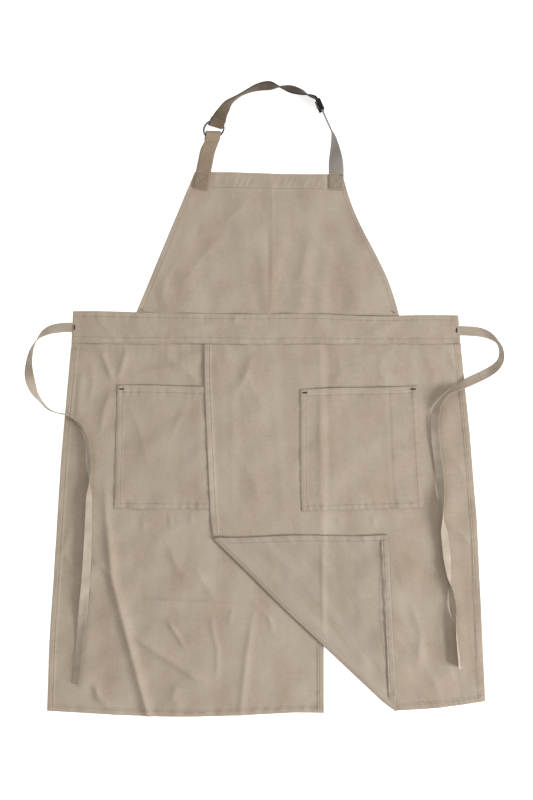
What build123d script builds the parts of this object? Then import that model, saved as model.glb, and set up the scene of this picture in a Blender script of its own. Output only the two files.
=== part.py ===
"""Split-leg artist's apron, lying flat on its back.

Millimetres. The origin is the middle of the waistband, on the surface that the apron
lies on. +X is to the right, +Y runs up the bib, +Z is up, out of the front of the apron.
Each function below makes one sub-part, and the list at the end writes one file for each.
"""

import math
import os

from build123d import *

# Cloth, webbing and running gaps
CLOTH = 0.5
WEBBING = 1.2
GAP = 0.3
SEAM_GAP = 0.5

# Waistband
WAIST_LENGTH = 660.0
WAIST_HEIGHT = 52.0
WAIST_LOW = -27.0
WAIST_TOP = WAIST_LOW + WAIST_HEIGHT

# Bib
BIB_TOP_WIDTH = 251.0
BIB_FOOT_WIDTH = 447.0
BIB_HEIGHT = 238.0
BIB_CENTRE_X = 3.0
BIB_TOP_HEM = 26.5
BIB_SIDE_HEM = 12.0

# Legs
LEG_LENGTH = 627.0
LEG_HEM_SPREAD = 41.5
LEG_SIDE_HEM = 10.5
LEG_BOTTOM_HEM = 10.5
UNDER_INNER_X = 97.0
OVER_INNER_X = -106.0
OVER_INNER_LEAN = 12.0
OVER_LEAN_HEIGHT = 250.0

# Corner of the over leg, folded back along a diagonal
FOLD_START = 328.0
FOLD_SLOPE = 1.037646
FOLD_CLEAR = 1.0

# Pockets
POCKET_WIDTH = 200.0
POCKET_HEIGHT = 208.0
POCKET_TURNING = 10.0
POCKET_TOP_HEM = 14.0
POCKET_DROP = 73.0
UNDER_POCKET_X = -155.0
OVER_POCKET_X = 160.0
TACK_LENGTH = 8.0
TACK_WIDTH = 2.6
TACK_HEIGHT = 0.5
TACK_INSET = 5.0
PEN_SLOT_INSET = 48.0

# Neck webbing, sewn feet and box stitches
STRAP_WIDTH = 25.4
FOOT_LENGTH = 28.0
TAB_X = -107.5
TAB_LEAN = 11.6
STRAP_FOOT_X = 118.5
STITCH_WIDTH = 0.8
STITCH_HEIGHT = 0.25
STITCH_INSET = 3.0

# Ring between the tab and the strap
RING_SIDE_ROOM = 4.8
RING_RADIUS = STRAP_WIDTH / 2 + RING_SIDE_ROOM
RING_WIRE = 1.65
RING_CENTRE = Vector(-89.0, 335.0, 20.0)
RING_TURN = 24.0
RING_TILT = 42.0
LOOP_INNER = 7.0
TAB_LOOP_TURN = -118.0
TAB_LOOP_MOUTH = RING_RADIUS + 6.5
STRAP_LOOP_TURN = 45.0
STRAP_LOOP_MOUTH = RING_RADIUS + 4.5
LOOP_CLEAR = 0.3

# Slider on the strap
SLIDER_CENTRE = Vector(90.0, 376.0, STRAP_WIDTH / 2 + 2.3)
SLIDER_HEADING = -66.0
SLIDER_LENGTH = 20.0
SLIDER_BAR_WIDTH = 2.4
SLIDER_RAIL = 1.6
SLIDER_BAR_RADIUS = 1.25
SLIDER_TRAVEL = 36.0
SLIDER_TAIL = 10.0

# Waist ties, flat tape
TIE_WIDTH = 16.0
TIE_THICK = 1.2

# Levels, counted up from the surface that the apron lies on
UNDER_PANEL_Z = CLOTH
UNDER_FRONT_Z = 2 * CLOTH
UNDER_POCKET_TOP = 5 * CLOTH
OVER_HEM_Z = UNDER_POCKET_TOP + GAP
OVER_PANEL_Z = OVER_HEM_Z + CLOTH
OVER_FRONT_Z = OVER_PANEL_Z + CLOTH
FLAP_Z = OVER_FRONT_Z + GAP
FOOT_TOP_Z = 2 * CLOTH + 2 * WEBBING
BIB_TOP_Y = WAIST_TOP + SEAM_GAP + BIB_HEIGHT
HEM_Y = WAIST_LOW - SEAM_GAP - LEG_LENGTH
LEG_TOP_Y = WAIST_LOW - SEAM_GAP


# ---------------------------------------------------------------- flat cloth

def lay(points, low, high):
    """A flat piece of cloth: an outline filled between two levels."""
    face = make_face(Polyline(*[(x, y) for x, y in points], close=True).edges())
    return Pos(0, 0, low) * extrude(face, high - low)


def along(start, end, reach):
    """The point at a distance from start towards end."""
    way = (Vector(*end) - Vector(*start)).normalized()
    point = Vector(*start) + way * reach
    return (point.X, point.Y)


def edge_band(start, end, width, low, high, trim_start=0.0, trim_end=0.0):
    """A band of folded cloth on the left of the line from start to end."""
    way = (Vector(*end) - Vector(*start)).normalized()
    side = Vector(-way.Y, way.X) * width
    first = Vector(*along(start, end, trim_start))
    last = Vector(*along(end, start, trim_end))
    corners = [first, last, last + side, first + side]
    return lay([(point.X, point.Y) for point in corners], low, high)


def block(centre_x, centre_y, length, width, low, high, turn=0.0):
    """A small flat block, turned about its own middle."""
    shape = Box(length, width, high - low, align=(Align.CENTER, Align.CENTER, Align.MIN))
    return Pos(centre_x, centre_y, low) * Rot(0, 0, turn) * shape


# ---------------------------------------------------------------- waistband

def waistband_layer(low, high):
    """One full-length layer of the waistband."""
    middle_y = (WAIST_LOW + WAIST_TOP) / 2
    return block(0, middle_y, WAIST_LENGTH, WAIST_HEIGHT, low, high)


def waistband_seam_stack():
    """The turned seam allowances and the leg tops that fill the waistband."""
    return waistband_layer(CLOTH, OVER_PANEL_Z)


def waistband_end_tacks():
    """A short bar tack across each end of the waistband, over the sewn end of the tie."""
    reach = WAIST_LENGTH / 2 - TACK_INSET
    return [
        block(side * reach, 0, TACK_WIDTH, TACK_LENGTH, OVER_FRONT_Z, OVER_FRONT_Z + TACK_HEIGHT)
        for side in (-1, 1)
    ]


# ---------------------------------------------------------------- bib

BIB_BASE_Y = WAIST_TOP + SEAM_GAP
BIB_FOOT_LEFT = (BIB_CENTRE_X - BIB_FOOT_WIDTH / 2, BIB_BASE_Y)
BIB_FOOT_RIGHT = (BIB_CENTRE_X + BIB_FOOT_WIDTH / 2, BIB_BASE_Y)
BIB_TOP_LEFT = (BIB_CENTRE_X - BIB_TOP_WIDTH / 2, BIB_TOP_Y)
BIB_TOP_RIGHT = (BIB_CENTRE_X + BIB_TOP_WIDTH / 2, BIB_TOP_Y)


def bib_panel():
    """The single layer of the bib."""
    outline = [BIB_FOOT_LEFT, BIB_FOOT_RIGHT, BIB_TOP_RIGHT, BIB_TOP_LEFT]
    return lay(outline, UNDER_PANEL_Z, UNDER_FRONT_Z)


def bib_top_hem():
    """The wide hem turned to the back along the top of the bib."""
    left = along(BIB_TOP_LEFT, BIB_FOOT_LEFT, BIB_TOP_HEM)
    right = along(BIB_TOP_RIGHT, BIB_FOOT_RIGHT, BIB_TOP_HEM)
    return lay([left, right, BIB_TOP_RIGHT, BIB_TOP_LEFT], 0, CLOTH)


def bib_left_hem():
    """The narrow hem turned to the back down the left side of the bib."""
    clear = BIB_TOP_HEM + BIB_SIDE_HEM / 2 + GAP
    return edge_band(BIB_TOP_LEFT, BIB_FOOT_LEFT, BIB_SIDE_HEM, 0, CLOTH, clear, BIB_SIDE_HEM)


def bib_right_hem():
    """The narrow hem turned to the back down the right side of the bib."""
    clear = BIB_TOP_HEM + BIB_SIDE_HEM / 2 + GAP
    return edge_band(BIB_FOOT_RIGHT, BIB_TOP_RIGHT, BIB_SIDE_HEM, 0, CLOTH, BIB_SIDE_HEM, clear)


def bib_seam_tacks():
    """A small tack where each side of the bib meets the waistband."""
    inset = TACK_LENGTH
    tack_y = BIB_BASE_Y + TACK_WIDTH
    return [
        block(
            BIB_CENTRE_X + side * (BIB_FOOT_WIDTH / 2 - inset),
            tack_y,
            TACK_LENGTH,
            TACK_WIDTH,
            UNDER_FRONT_Z,
            UNDER_FRONT_Z + TACK_HEIGHT,
        )
        for side in (-1, 1)
    ]


# ---------------------------------------------------------------- sewn feet of the neck webbing

def foot(centre_x, lean):
    """Two layers of webbing sewn on the front of the bib, flush with its top edge."""
    shape = block(0, -FOOT_LENGTH / 2, STRAP_WIDTH, FOOT_LENGTH * 1.5, UNDER_FRONT_Z, FOOT_TOP_Z)
    placed = Pos(centre_x, BIB_TOP_Y, 0) * Rot(0, 0, -lean) * shape
    above = Pos(centre_x, BIB_TOP_Y + FOOT_LENGTH, 0) * Box(
        STRAP_WIDTH * 4, FOOT_LENGTH * 2, 4 * FOOT_TOP_Z
    )
    return placed - above


def box_stitch(centre_x, lean):
    """The square of thread with a cross in it that holds a foot, as six thin bars."""
    across = STRAP_WIDTH - 2 * STITCH_INSET
    down = FOOT_LENGTH - 2 * STITCH_INSET
    mid_y = -FOOT_LENGTH / 2 - STITCH_INSET / 2
    diagonal = math.hypot(across, down) - 4 * STITCH_WIDTH
    slope = math.degrees(math.atan2(down, across))
    high = FOOT_TOP_Z + STITCH_HEIGHT
    end = STITCH_WIDTH / 2
    bars = [
        block(0, mid_y - down / 2, across, STITCH_WIDTH, FOOT_TOP_Z, high),
        block(0, mid_y + down / 2, across, STITCH_WIDTH, FOOT_TOP_Z, high),
        block(-across / 2 + end, mid_y, STITCH_WIDTH, down - 2 * end, FOOT_TOP_Z, high),
        block(across / 2 - end, mid_y, STITCH_WIDTH, down - 2 * end, FOOT_TOP_Z, high),
    ]
    cross = block(0, mid_y, diagonal, STITCH_WIDTH, FOOT_TOP_Z, high, slope)
    cross = cross + block(0, mid_y, diagonal, STITCH_WIDTH, FOOT_TOP_Z, high, -slope)
    bars.append(cross)
    place = Pos(centre_x, BIB_TOP_Y, 0) * Rot(0, 0, -lean)
    return [place * bar for bar in bars]


# ---------------------------------------------------------------- legs, hems and pockets

UNDER_OUTER_TOP = (-WAIST_LENGTH / 2, LEG_TOP_Y)
UNDER_OUTER_FOOT = (-WAIST_LENGTH / 2 - LEG_HEM_SPREAD, HEM_Y)
UNDER_INNER_TOP = (UNDER_INNER_X, LEG_TOP_Y)
UNDER_INNER_FOOT = (UNDER_INNER_X, HEM_Y)
OVER_OUTER_TOP = (WAIST_LENGTH / 2, LEG_TOP_Y)
OVER_OUTER_FOOT = (WAIST_LENGTH / 2 + LEG_HEM_SPREAD, HEM_Y)
OVER_INNER_TOP = (OVER_INNER_X, LEG_TOP_Y)
FOLD_A = (OVER_INNER_X + OVER_INNER_LEAN * FOLD_START / OVER_LEAN_HEIGHT, LEG_TOP_Y - FOLD_START)
FOLD_TIP_X = FOLD_A[0] + FOLD_SLOPE * (LEG_LENGTH - FOLD_START)
FOLD_C = (FOLD_TIP_X, HEM_Y)


def inset_foot(outer_top, outer_foot, side):
    """Where the inside of an outer hem meets the top of the bottom hem."""
    level = HEM_Y + LEG_BOTTOM_HEM
    share = (level - outer_foot[1]) / (outer_top[1] - outer_foot[1])
    return (outer_foot[0] + (outer_top[0] - outer_foot[0]) * share + side * LEG_SIDE_HEM, level)


def left_leg_panel():
    """The leg that lies underneath, one layer."""
    outline = [UNDER_OUTER_TOP, UNDER_OUTER_FOOT, UNDER_INNER_FOOT, UNDER_INNER_TOP]
    return lay(outline, UNDER_PANEL_Z, UNDER_FRONT_Z)


def left_outer_hem():
    """Hem down the outside of the under leg, turned to the back."""
    inner_foot = inset_foot(UNDER_OUTER_TOP, UNDER_OUTER_FOOT, 1)
    foot_point = (inner_foot[0] - LEG_SIDE_HEM, inner_foot[1])
    inner_top = (UNDER_OUTER_TOP[0] + LEG_SIDE_HEM, LEG_TOP_Y)
    return lay([UNDER_OUTER_TOP, foot_point, inner_foot, inner_top], 0, CLOTH)


def left_inner_hem():
    """Hem down the front edge of the under leg, turned to the back."""
    level = HEM_Y + LEG_BOTTOM_HEM
    outline = [
        (UNDER_INNER_X - LEG_SIDE_HEM, level),
        (UNDER_INNER_X, level),
        UNDER_INNER_TOP,
        (UNDER_INNER_X - LEG_SIDE_HEM, LEG_TOP_Y),
    ]
    return lay(outline, 0, CLOTH)


def left_bottom_hem():
    """Hem along the foot of the under leg, turned to the back."""
    level = HEM_Y + LEG_BOTTOM_HEM
    outer = inset_foot(UNDER_OUTER_TOP, UNDER_OUTER_FOOT, 0)
    return lay([UNDER_OUTER_FOOT, UNDER_INNER_FOOT, (UNDER_INNER_X, level), outer], 0, CLOTH)


def fold_side(distance):
    """The fold line moved to its panel side by a distance, as two points."""
    way = (Vector(*FOLD_C) - Vector(*FOLD_A)).normalized()
    side = Vector(-way.Y, way.X) * distance
    first = Vector(*FOLD_A) + side
    last = Vector(*FOLD_C) + side
    return (first.X, first.Y), (last.X, last.Y)


def cross_at(first, last, x=None, y=None):
    """Where the line through two points crosses an upright or a level line."""
    if x is None:
        share = (y - first[1]) / (last[1] - first[1])
        return (first[0] + (last[0] - first[0]) * share, y)
    share = (x - first[0]) / (last[0] - first[0])
    return (x, first[1] + (last[1] - first[1]) * share)


def right_leg_panel():
    """The leg that lies on top, one layer, up to the diagonal fold."""
    near, far = fold_side(FOLD_CLEAR)
    outline = [
        OVER_INNER_TOP,
        (FOLD_A[0], near[1]),
        near,
        cross_at(near, far, y=HEM_Y),
        OVER_OUTER_FOOT,
        OVER_OUTER_TOP,
    ]
    return lay(outline, OVER_PANEL_Z, OVER_FRONT_Z)


def right_inner_hem():
    """Hem down the front edge of the over leg, as far as the fold."""
    near, far = fold_side(FOLD_CLEAR)
    inside_top = (OVER_INNER_TOP[0] + LEG_SIDE_HEM, LEG_TOP_Y)
    inside_foot = (near[0] + LEG_SIDE_HEM, 0)
    outline = [
        OVER_INNER_TOP,
        (FOLD_A[0], near[1]),
        near,
        cross_at(near, far, x=inside_foot[0]),
        inside_top,
    ]
    return lay(outline, OVER_HEM_Z, OVER_PANEL_Z)


def right_outer_hem():
    """Hem down the outside of the over leg, turned to the back."""
    inner_foot = inset_foot(OVER_OUTER_TOP, OVER_OUTER_FOOT, -1)
    foot_point = (inner_foot[0] + LEG_SIDE_HEM, inner_foot[1])
    inner_top = (OVER_OUTER_TOP[0] - LEG_SIDE_HEM, LEG_TOP_Y)
    return lay([OVER_OUTER_TOP, inner_top, inner_foot, foot_point], OVER_HEM_Z, OVER_PANEL_Z)


def right_bottom_hem():
    """Hem along the foot of the over leg, from the fold to the outside."""
    near, far = fold_side(FOLD_CLEAR)
    level = HEM_Y + LEG_BOTTOM_HEM
    outer = inset_foot(OVER_OUTER_TOP, OVER_OUTER_FOOT, 0)
    outline = [
        cross_at(near, far, y=HEM_Y),
        OVER_OUTER_FOOT,
        outer,
        cross_at(near, far, y=level),
    ]
    return lay(outline, OVER_HEM_Z, OVER_PANEL_Z)


def pocket_front(centre_x, base_z):
    """The front of a patch pocket, lying on its turnings."""
    top = LEG_TOP_Y - POCKET_DROP
    return block(
        centre_x, top - POCKET_HEIGHT / 2, POCKET_WIDTH, POCKET_HEIGHT, base_z + 2 * CLOTH,
        base_z + 3 * CLOTH,
    )


def pocket_turnings(centre_x, base_z):
    """The turned edges that hold the pocket to the leg: two sides and the foot."""
    top = LEG_TOP_Y - POCKET_DROP
    side_reach = (POCKET_WIDTH - POCKET_TURNING) / 2
    side_height = POCKET_HEIGHT - POCKET_TURNING
    high = base_z + 2 * CLOTH
    sides = [
        block(centre_x + side * side_reach, top - side_height / 2, POCKET_TURNING, side_height, base_z, high)
        for side in (-1, 1)
    ]
    low_y = top - POCKET_HEIGHT + POCKET_TURNING / 2
    return sides + [block(centre_x, low_y, POCKET_WIDTH, POCKET_TURNING, base_z, high)]


def pocket_top_hem(centre_x, base_z):
    """The hem turned inside along the pocket's mouth."""
    top = LEG_TOP_Y - POCKET_DROP
    width = POCKET_WIDTH - 2 * POCKET_TURNING
    return block(
        centre_x, top - POCKET_TOP_HEM / 2, width, POCKET_TOP_HEM, base_z + CLOTH, base_z + 2 * CLOTH
    )


def pocket_tacks(centre_x, base_z, sides):
    """Bar tacks at the top corners of a pocket."""
    high = base_z + 3 * CLOTH
    tack_y = LEG_TOP_Y - POCKET_DROP - TACK_INSET
    reach = POCKET_WIDTH / 2 - TACK_LENGTH
    return [
        block(centre_x + side * reach, tack_y, TACK_LENGTH, TACK_WIDTH, high, high + TACK_HEIGHT / 2)
        for side in sides
    ]


def pen_slot_stitch():
    """The upright line of stitching that parts a pen slot from the right pocket."""
    high = OVER_FRONT_Z + 3 * CLOTH
    top = LEG_TOP_Y - POCKET_DROP
    slot_x = OVER_POCKET_X + POCKET_WIDTH / 2 - PEN_SLOT_INSET
    length = POCKET_HEIGHT - POCKET_TURNING
    return block(slot_x, top - length / 2, STITCH_WIDTH, length, high, high + STITCH_HEIGHT)


# ---------------------------------------------------------------- folded corner

def unfold_corner():
    """The missing corner of the over leg, mirrored in the fold line."""
    way = (Vector(*FOLD_C) - Vector(*FOLD_A)).normalized()
    side = Vector(-way.Y, way.X)
    corner = Vector(FOLD_A[0] + OVER_INNER_LEAN / 2, HEM_Y)
    reach = (corner - Vector(*FOLD_A)).dot(side)
    mirrored = corner - side * (2 * reach)
    return (mirrored.X, mirrored.Y)


FLAP_B = unfold_corner()


def corner_flap_panel():
    """The folded corner, lying on the over leg with its inside showing."""
    near, far = fold_side(FOLD_CLEAR)
    tip = cross_at(near, far, x=FOLD_TIP_X - FOLD_CLEAR)
    return lay([near, tip, FLAP_B], FLAP_Z, FLAP_Z + CLOTH)


def flap_hem(start, end, trim_start, trim_end):
    """A hem on the inside of the flap, between its own two ends."""
    low = FLAP_Z + CLOTH
    return edge_band(start, end, LEG_BOTTOM_HEM, low, low + CLOTH, trim_start, trim_end)


def corner_flap_bottom_hem():
    """What was the leg's bottom hem, now down the right of the flap."""
    near, far = fold_side(FOLD_CLEAR)
    tip = cross_at(near, far, x=FOLD_TIP_X - FOLD_CLEAR)
    return flap_hem(tip, FLAP_B, 2 * LEG_BOTTOM_HEM, 0)


def corner_flap_front_hem():
    """What was the leg's front hem, now along the top of the flap."""
    near = fold_side(FOLD_CLEAR)[0]
    return flap_hem(FLAP_B, near, LEG_BOTTOM_HEM + GAP, 2 * LEG_BOTTOM_HEM)


# ---------------------------------------------------------------- ring and its loops

RING_EAST = Vector(math.cos(math.radians(RING_TURN)), math.sin(math.radians(RING_TURN)), 0)
RING_NORTH = Vector(
    -math.sin(math.radians(RING_TURN)) * math.cos(math.radians(RING_TILT)),
    math.cos(math.radians(RING_TURN)) * math.cos(math.radians(RING_TILT)),
    math.sin(math.radians(RING_TILT)),
)
RING_AXIS = RING_EAST.cross(RING_NORTH)


def ring_radial(turn):
    """The direction out of the ring's middle at an angle round the ring."""
    angle = math.radians(turn)
    return RING_EAST * math.cos(angle) + RING_NORTH * math.sin(angle)


def o_ring():
    """The round wire ring."""
    plane = Plane(origin=RING_CENTRE, x_dir=RING_EAST, z_dir=RING_AXIS)
    return plane.location * Torus(RING_RADIUS, RING_WIRE)


def webbing_loop(turn, mouth, half_mouth):
    """Webbing folded round the ring's wire, a hollow loop that closes at its mouth."""
    radial = ring_radial(turn)
    plane = Plane(origin=RING_CENTRE, x_dir=radial, z_dir=radial.cross(RING_AXIS))
    hollow = RING_WIRE + LOOP_CLEAR
    skin = hollow + WEBBING
    wire_end = RING_RADIUS + RING_WIRE + LOOP_CLEAR
    outside = Polyline((LOOP_INNER, skin), (wire_end, skin), (mouth, half_mouth), (mouth, -half_mouth),
                       (wire_end, -skin), (LOOP_INNER, -skin))
    outside_end = ThreePointArc((LOOP_INNER, -skin), (LOOP_INNER - skin, 0), (LOOP_INNER, skin))
    inside = Polyline((LOOP_INNER, hollow), (wire_end, hollow), (wire_end + hollow, 0),
                      (wire_end, -hollow), (LOOP_INNER, -hollow))
    inside_end = ThreePointArc(
        (LOOP_INNER, -hollow), (LOOP_INNER - hollow, 0), (LOOP_INNER, hollow)
    )
    ring_face = make_face(outside.edges() + outside_end.edges())
    ring_face = ring_face - make_face(inside.edges() + inside_end.edges())
    return extrude(plane * ring_face, STRAP_WIDTH / 2, both=True)


# ---------------------------------------------------------------- flat webbing on a path

def ribbon(stations, low, high):
    """Flat webbing through stations, each a middle, a direction across and a normal.

    Its faces are triangles, so that two layers on the same stations meet face to face.
    """
    rings = []
    for middle, across, normal in stations:
        half = across * (STRAP_WIDTH / 2)
        rings.append([
            middle - half + normal * low,
            middle + half + normal * low,
            middle + half + normal * high,
            middle - half + normal * high,
        ])
    faces = [Face(Wire.make_polygon(rings[0])), Face(Wire.make_polygon(rings[-1]))]
    for near, far in zip(rings, rings[1:]):
        for corner in range(4):
            other = (corner + 1) % 4
            first, second = near[corner], near[other]
            third, fourth = far[other], far[corner]
            if corner == 0 or corner == 3:
                faces.append(Face(Wire.make_polygon([first, second, fourth])))
                faces.append(Face(Wire.make_polygon([second, third, fourth])))
            else:
                faces.append(Face(Wire.make_polygon([first, second, third])))
                faces.append(Face(Wire.make_polygon([first, third, fourth])))
    return Solid(Shell(faces))


def station(point, heading, roll, rise=0.0):
    """A place on the webbing: roll 0 lies flat and roll 90 stands on edge, left edge up."""
    turn = math.radians(heading)
    climb = math.radians(rise)
    tip = math.radians(roll)
    ahead = Vector(math.cos(turn) * math.cos(climb), math.sin(turn) * math.cos(climb), math.sin(climb))
    left = Vector(-math.sin(turn), math.cos(turn), 0)
    above = ahead.cross(left)
    across = left * math.cos(tip) + above * math.sin(tip)
    return (Vector(*point), across, ahead.cross(across))


def loop_station(turn, reach, sense):
    """The station at a loop's mouth; sense is 1 for webbing that leaves the ring."""
    radial = ring_radial(turn)
    across = RING_AXIS.cross(radial) * sense
    return (RING_CENTRE + radial * reach, across, RING_AXIS)


TAB_STATIONS = [
    station((TAB_X + math.tan(math.radians(TAB_LEAN)) * SEAM_GAP, BIB_TOP_Y + SEAM_GAP,
             2 * CLOTH + WEBBING), 90, 0),
    station((-103.5, 283.0, 2.4), 80, 3),
    station((-99.5, 301.0, 3.6), 78, 12),
    loop_station(TAB_LOOP_TURN, TAB_LOOP_MOUTH, -1),
]

ARCH_STATIONS = [
    loop_station(STRAP_LOOP_TURN, STRAP_LOOP_MOUTH, 1),
    station((-74.0, 361.5, 28.0), 61, 48, -18),
    station((-67.0, 373.0, 22.5), 57, 62, -22),
    station((-57.5, 384.0, 17.5), 46, 76, -14),
    station((-44.5, 393.5, 15.0), 33, 84, -4),
    station((-29.0, 401.5, 14.2), 24, 86),
    station((-12.0, 407.5, 14.0), 12, 86),
    station((6.0, 409.5, 14.0), 0, 86),
    station((24.0, 407.5, 14.0), -9, 86),
    station((42.0, 403.0, 14.2), -15, 88),
    station((60.0, 397.5, 14.6), -18, 90),
    station((73.0, 392.7, 15.0), -19, 90),
]
BEND_RADIUS = 9.0
BEND_STEPS = 4
TWIST_STATIONS = [
    station((112.0, 323.5, 14.0), -72, 78),
    station((114.5, 309.0, 12.0), -78, 60),
    station((116.3, 295.0, 9.0), -82, 40),
    station((117.6, 281.0, 6.0), -85, 18),
    station((118.3, 271.0, 4.4), -88, 6),
]


def slider_point(reach):
    """A point on the straight run that the slider travels along."""
    turn = math.radians(SLIDER_HEADING)
    return SLIDER_CENTRE + Vector(math.cos(turn), math.sin(turn), 0) * reach


def bend_stations():
    """The turn of the strap into the slider, worked out as an arc."""
    end_reach = -SLIDER_LENGTH / 2 - GAP
    end = slider_point(end_reach)
    first_heading = -19.0
    turn = math.radians(SLIDER_HEADING - 90)
    centre = end + Vector(math.cos(turn), math.sin(turn), 0) * BEND_RADIUS
    stations = []
    for step in range(BEND_STEPS + 1):
        heading = first_heading + (SLIDER_HEADING - first_heading) * step / BEND_STEPS
        out = math.radians(heading + 90)
        point = centre + Vector(math.cos(out), math.sin(out), 0) * BEND_RADIUS
        stations.append(station((point.X, point.Y, point.Z), heading, 90))
    return stations


def run_stations():
    """The straight stretch past the slider's whole travel, then the twist to the foot."""
    end = slider_point(SLIDER_TRAVEL + SLIDER_LENGTH / 2 + GAP)
    straight = station((end.X, end.Y, end.Z), SLIDER_HEADING, 90)
    foot_top = FOOT_TOP_Z
    last = station((STRAP_FOOT_X, BIB_TOP_Y + SEAM_GAP, foot_top - WEBBING / 2 + STRAP_SHIFT), -90, 0)
    return [bend_stations()[-1], straight] + TWIST_STATIONS + [last]


# The two layers of the doubled strap lie each side of its middle line
LAYER_SPLIT = GAP / 2
STRAP_LOW = -LAYER_SPLIT - WEBBING
STRAP_SHIFT = LAYER_SPLIT + WEBBING / 2


def neck_tab():
    """The doubled webbing between the bib and the ring."""
    return ribbon(TAB_STATIONS, -WEBBING, WEBBING)


def neck_strap_outer_run():
    """The layer of the arch that goes on through the slider."""
    return ribbon(ARCH_STATIONS + bend_stations(), STRAP_LOW, -LAYER_SPLIT)


def neck_strap_return_run():
    """The layer of the arch that comes back from the ring to the slider's bar."""
    return ribbon(ARCH_STATIONS + bend_stations(), LAYER_SPLIT, LAYER_SPLIT + WEBBING)


def neck_strap_right_run():
    """The single webbing from the slider's top, twisting down to the sewn foot."""
    return ribbon(run_stations(), STRAP_LOW, -LAYER_SPLIT)


# ---------------------------------------------------------------- slider

def slider_plane():
    """The slider's own plane: x along the strap, y out of the strap's inner face."""
    along_strap = (slider_point(1) - slider_point(0)).normalized()
    inner = along_strap.cross(Vector(0, 0, 1))
    return Plane(origin=SLIDER_CENTRE, x_dir=along_strap, z_dir=along_strap.cross(inner))


BAR_OFFSET = LAYER_SPLIT + WEBBING + GAP + SLIDER_BAR_RADIUS
FRAME_LOW = STRAP_LOW - GAP - SLIDER_BAR_WIDTH
FRAME_HIGH = BAR_OFFSET + SLIDER_BAR_RADIUS
RAIL_INSIDE = STRAP_WIDTH / 2 + GAP


def slider_frame():
    """Two rails joined by an end bar at each end, over the outer face of the strap."""
    pieces = []
    for side in (-1, 1):
        middle = side * (RAIL_INSIDE + SLIDER_RAIL / 2)
        rail = Box(SLIDER_LENGTH, FRAME_HIGH - FRAME_LOW, SLIDER_RAIL)
        pieces.append(Pos(0, (FRAME_HIGH + FRAME_LOW) / 2, middle) * rail)
        bar = Box(SLIDER_BAR_WIDTH, SLIDER_BAR_WIDTH, 2 * RAIL_INSIDE + SLIDER_RAIL)
        reach = side * (SLIDER_LENGTH - SLIDER_BAR_WIDTH) / 2
        pieces.append(Pos(reach, FRAME_LOW + SLIDER_BAR_WIDTH / 2, 0) * bar)
    frame = pieces[0]
    for piece in pieces[1:]:
        frame = frame + piece
    return slider_plane().location * frame


def slider_centre_bar():
    """The round bar between the rails that the strap's end is looped on."""
    bar = Cylinder(SLIDER_BAR_RADIUS, 2 * RAIL_INSIDE)
    return slider_plane().location * Pos(0, BAR_OFFSET, 0) * bar


def strap_end_loop():
    """The end of the return run, folded round the centre bar and sewn to itself."""
    hollow = SLIDER_BAR_RADIUS + GAP
    skin = hollow + WEBBING
    tail = -SLIDER_TAIL
    low = BAR_OFFSET - skin
    high = BAR_OFFSET + skin
    outside = Polyline((0, low), (tail, low), (tail, low + 2 * WEBBING), (0, high))
    outside_end = ThreePointArc((0, high), (skin, BAR_OFFSET), (0, low))
    mouth = (tail + 2 * skin, low + WEBBING)
    inside = Polyline((0, low + WEBBING), mouth, (0, high - WEBBING))
    inside_end = ThreePointArc((0, high - WEBBING), (hollow, BAR_OFFSET), (0, low + WEBBING))
    section = make_face(outside.edges() + outside_end.edges())
    section = section - make_face(inside.edges() + inside_end.edges())
    return slider_plane().location * extrude(section, STRAP_WIDTH / 2, both=True)


# ---------------------------------------------------------------- waist ties

LEFT_TIE_ROOT = [
    (-330.0, 1.0), (-354.0, 1.0), (-379.0, -8.0), (-398.0, -32.0), (-405.0, -72.0), (-396.0, -108.0),
    (-382.0, -125.0),
]
LEFT_TIE_TAIL = [
    (-382.0, -125.0), (-368.0, -142.0), (-332.0, -148.0), (-306.0, -174.0), (-299.0, -225.0),
    (-301.0, -290.0), (-303.0, -370.0), (-308.0, -445.0), (-315.0, -520.0), (-323.5, -603.5),
]
RIGHT_TIE_ROOT = [
    (330.0, -5.0), (354.0, -5.0), (378.0, -11.0), (397.0, -28.0), (400.0, -54.0), (384.0, -73.0),
    (361.0, -83.5),
]
RIGHT_TIE_TAIL = [
    (361.0, -83.5), (338.0, -94.0), (304.0, -113.0), (288.0, -146.0), (291.0, -205.0),
    (299.0, -265.0), (299.0, -325.0), (306.0, -390.0), (315.0, -460.0), (322.0, -520.0),
    (328.4, -578.0),
]


def corner_radii(points):
    """The largest even arc for each corner: 0.45 of its shorter run over tan of half its turn."""
    radii = []
    for before, corner, after in zip(points, points[1:], points[2:]):
        arriving = Vector(*corner) - Vector(*before)
        leaving = Vector(*after) - Vector(*corner)
        turn = math.radians(arriving.get_angle(leaving))
        shorter = min(arriving.length, leaving.length)
        radii.append(0.45 * shorter / math.tan(turn / 2))
    return radii


def tie(name, points, low, cut_back=0.0):
    """Flat tape along straight runs joined by tangent arcs, at one level."""
    route = [Vector(*point) for point in points]
    route[0] = route[0] + (route[1] - route[0]).normalized() * cut_back
    radii = corner_radii([(point.X, point.Y) for point in route])
    path = FilletPolyline(*[(point.X, point.Y, low + TIE_THICK / 2) for point in route], radius=radii)
    ahead = (route[1] - route[0]).normalized()
    section = Plane(
        origin=(route[0].X, route[0].Y, low + TIE_THICK / 2),
        x_dir=(-ahead.Y, ahead.X, 0),
        z_dir=(ahead.X, ahead.Y, 0),
    )
    tape = sweep(section * Rectangle(TIE_WIDTH, TIE_THICK), path=path.wire())
    wanted = TIE_WIDTH * TIE_THICK * path.wire().length
    print(name, "radii", [round(radius, 1) for radius in radii], "length", round(path.wire().length, 1))
    print(name, "volume", round(tape.volume, 1), "section times length", round(wanted, 1))
    return tape


# ---------------------------------------------------------------- writing the sub-parts

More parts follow.
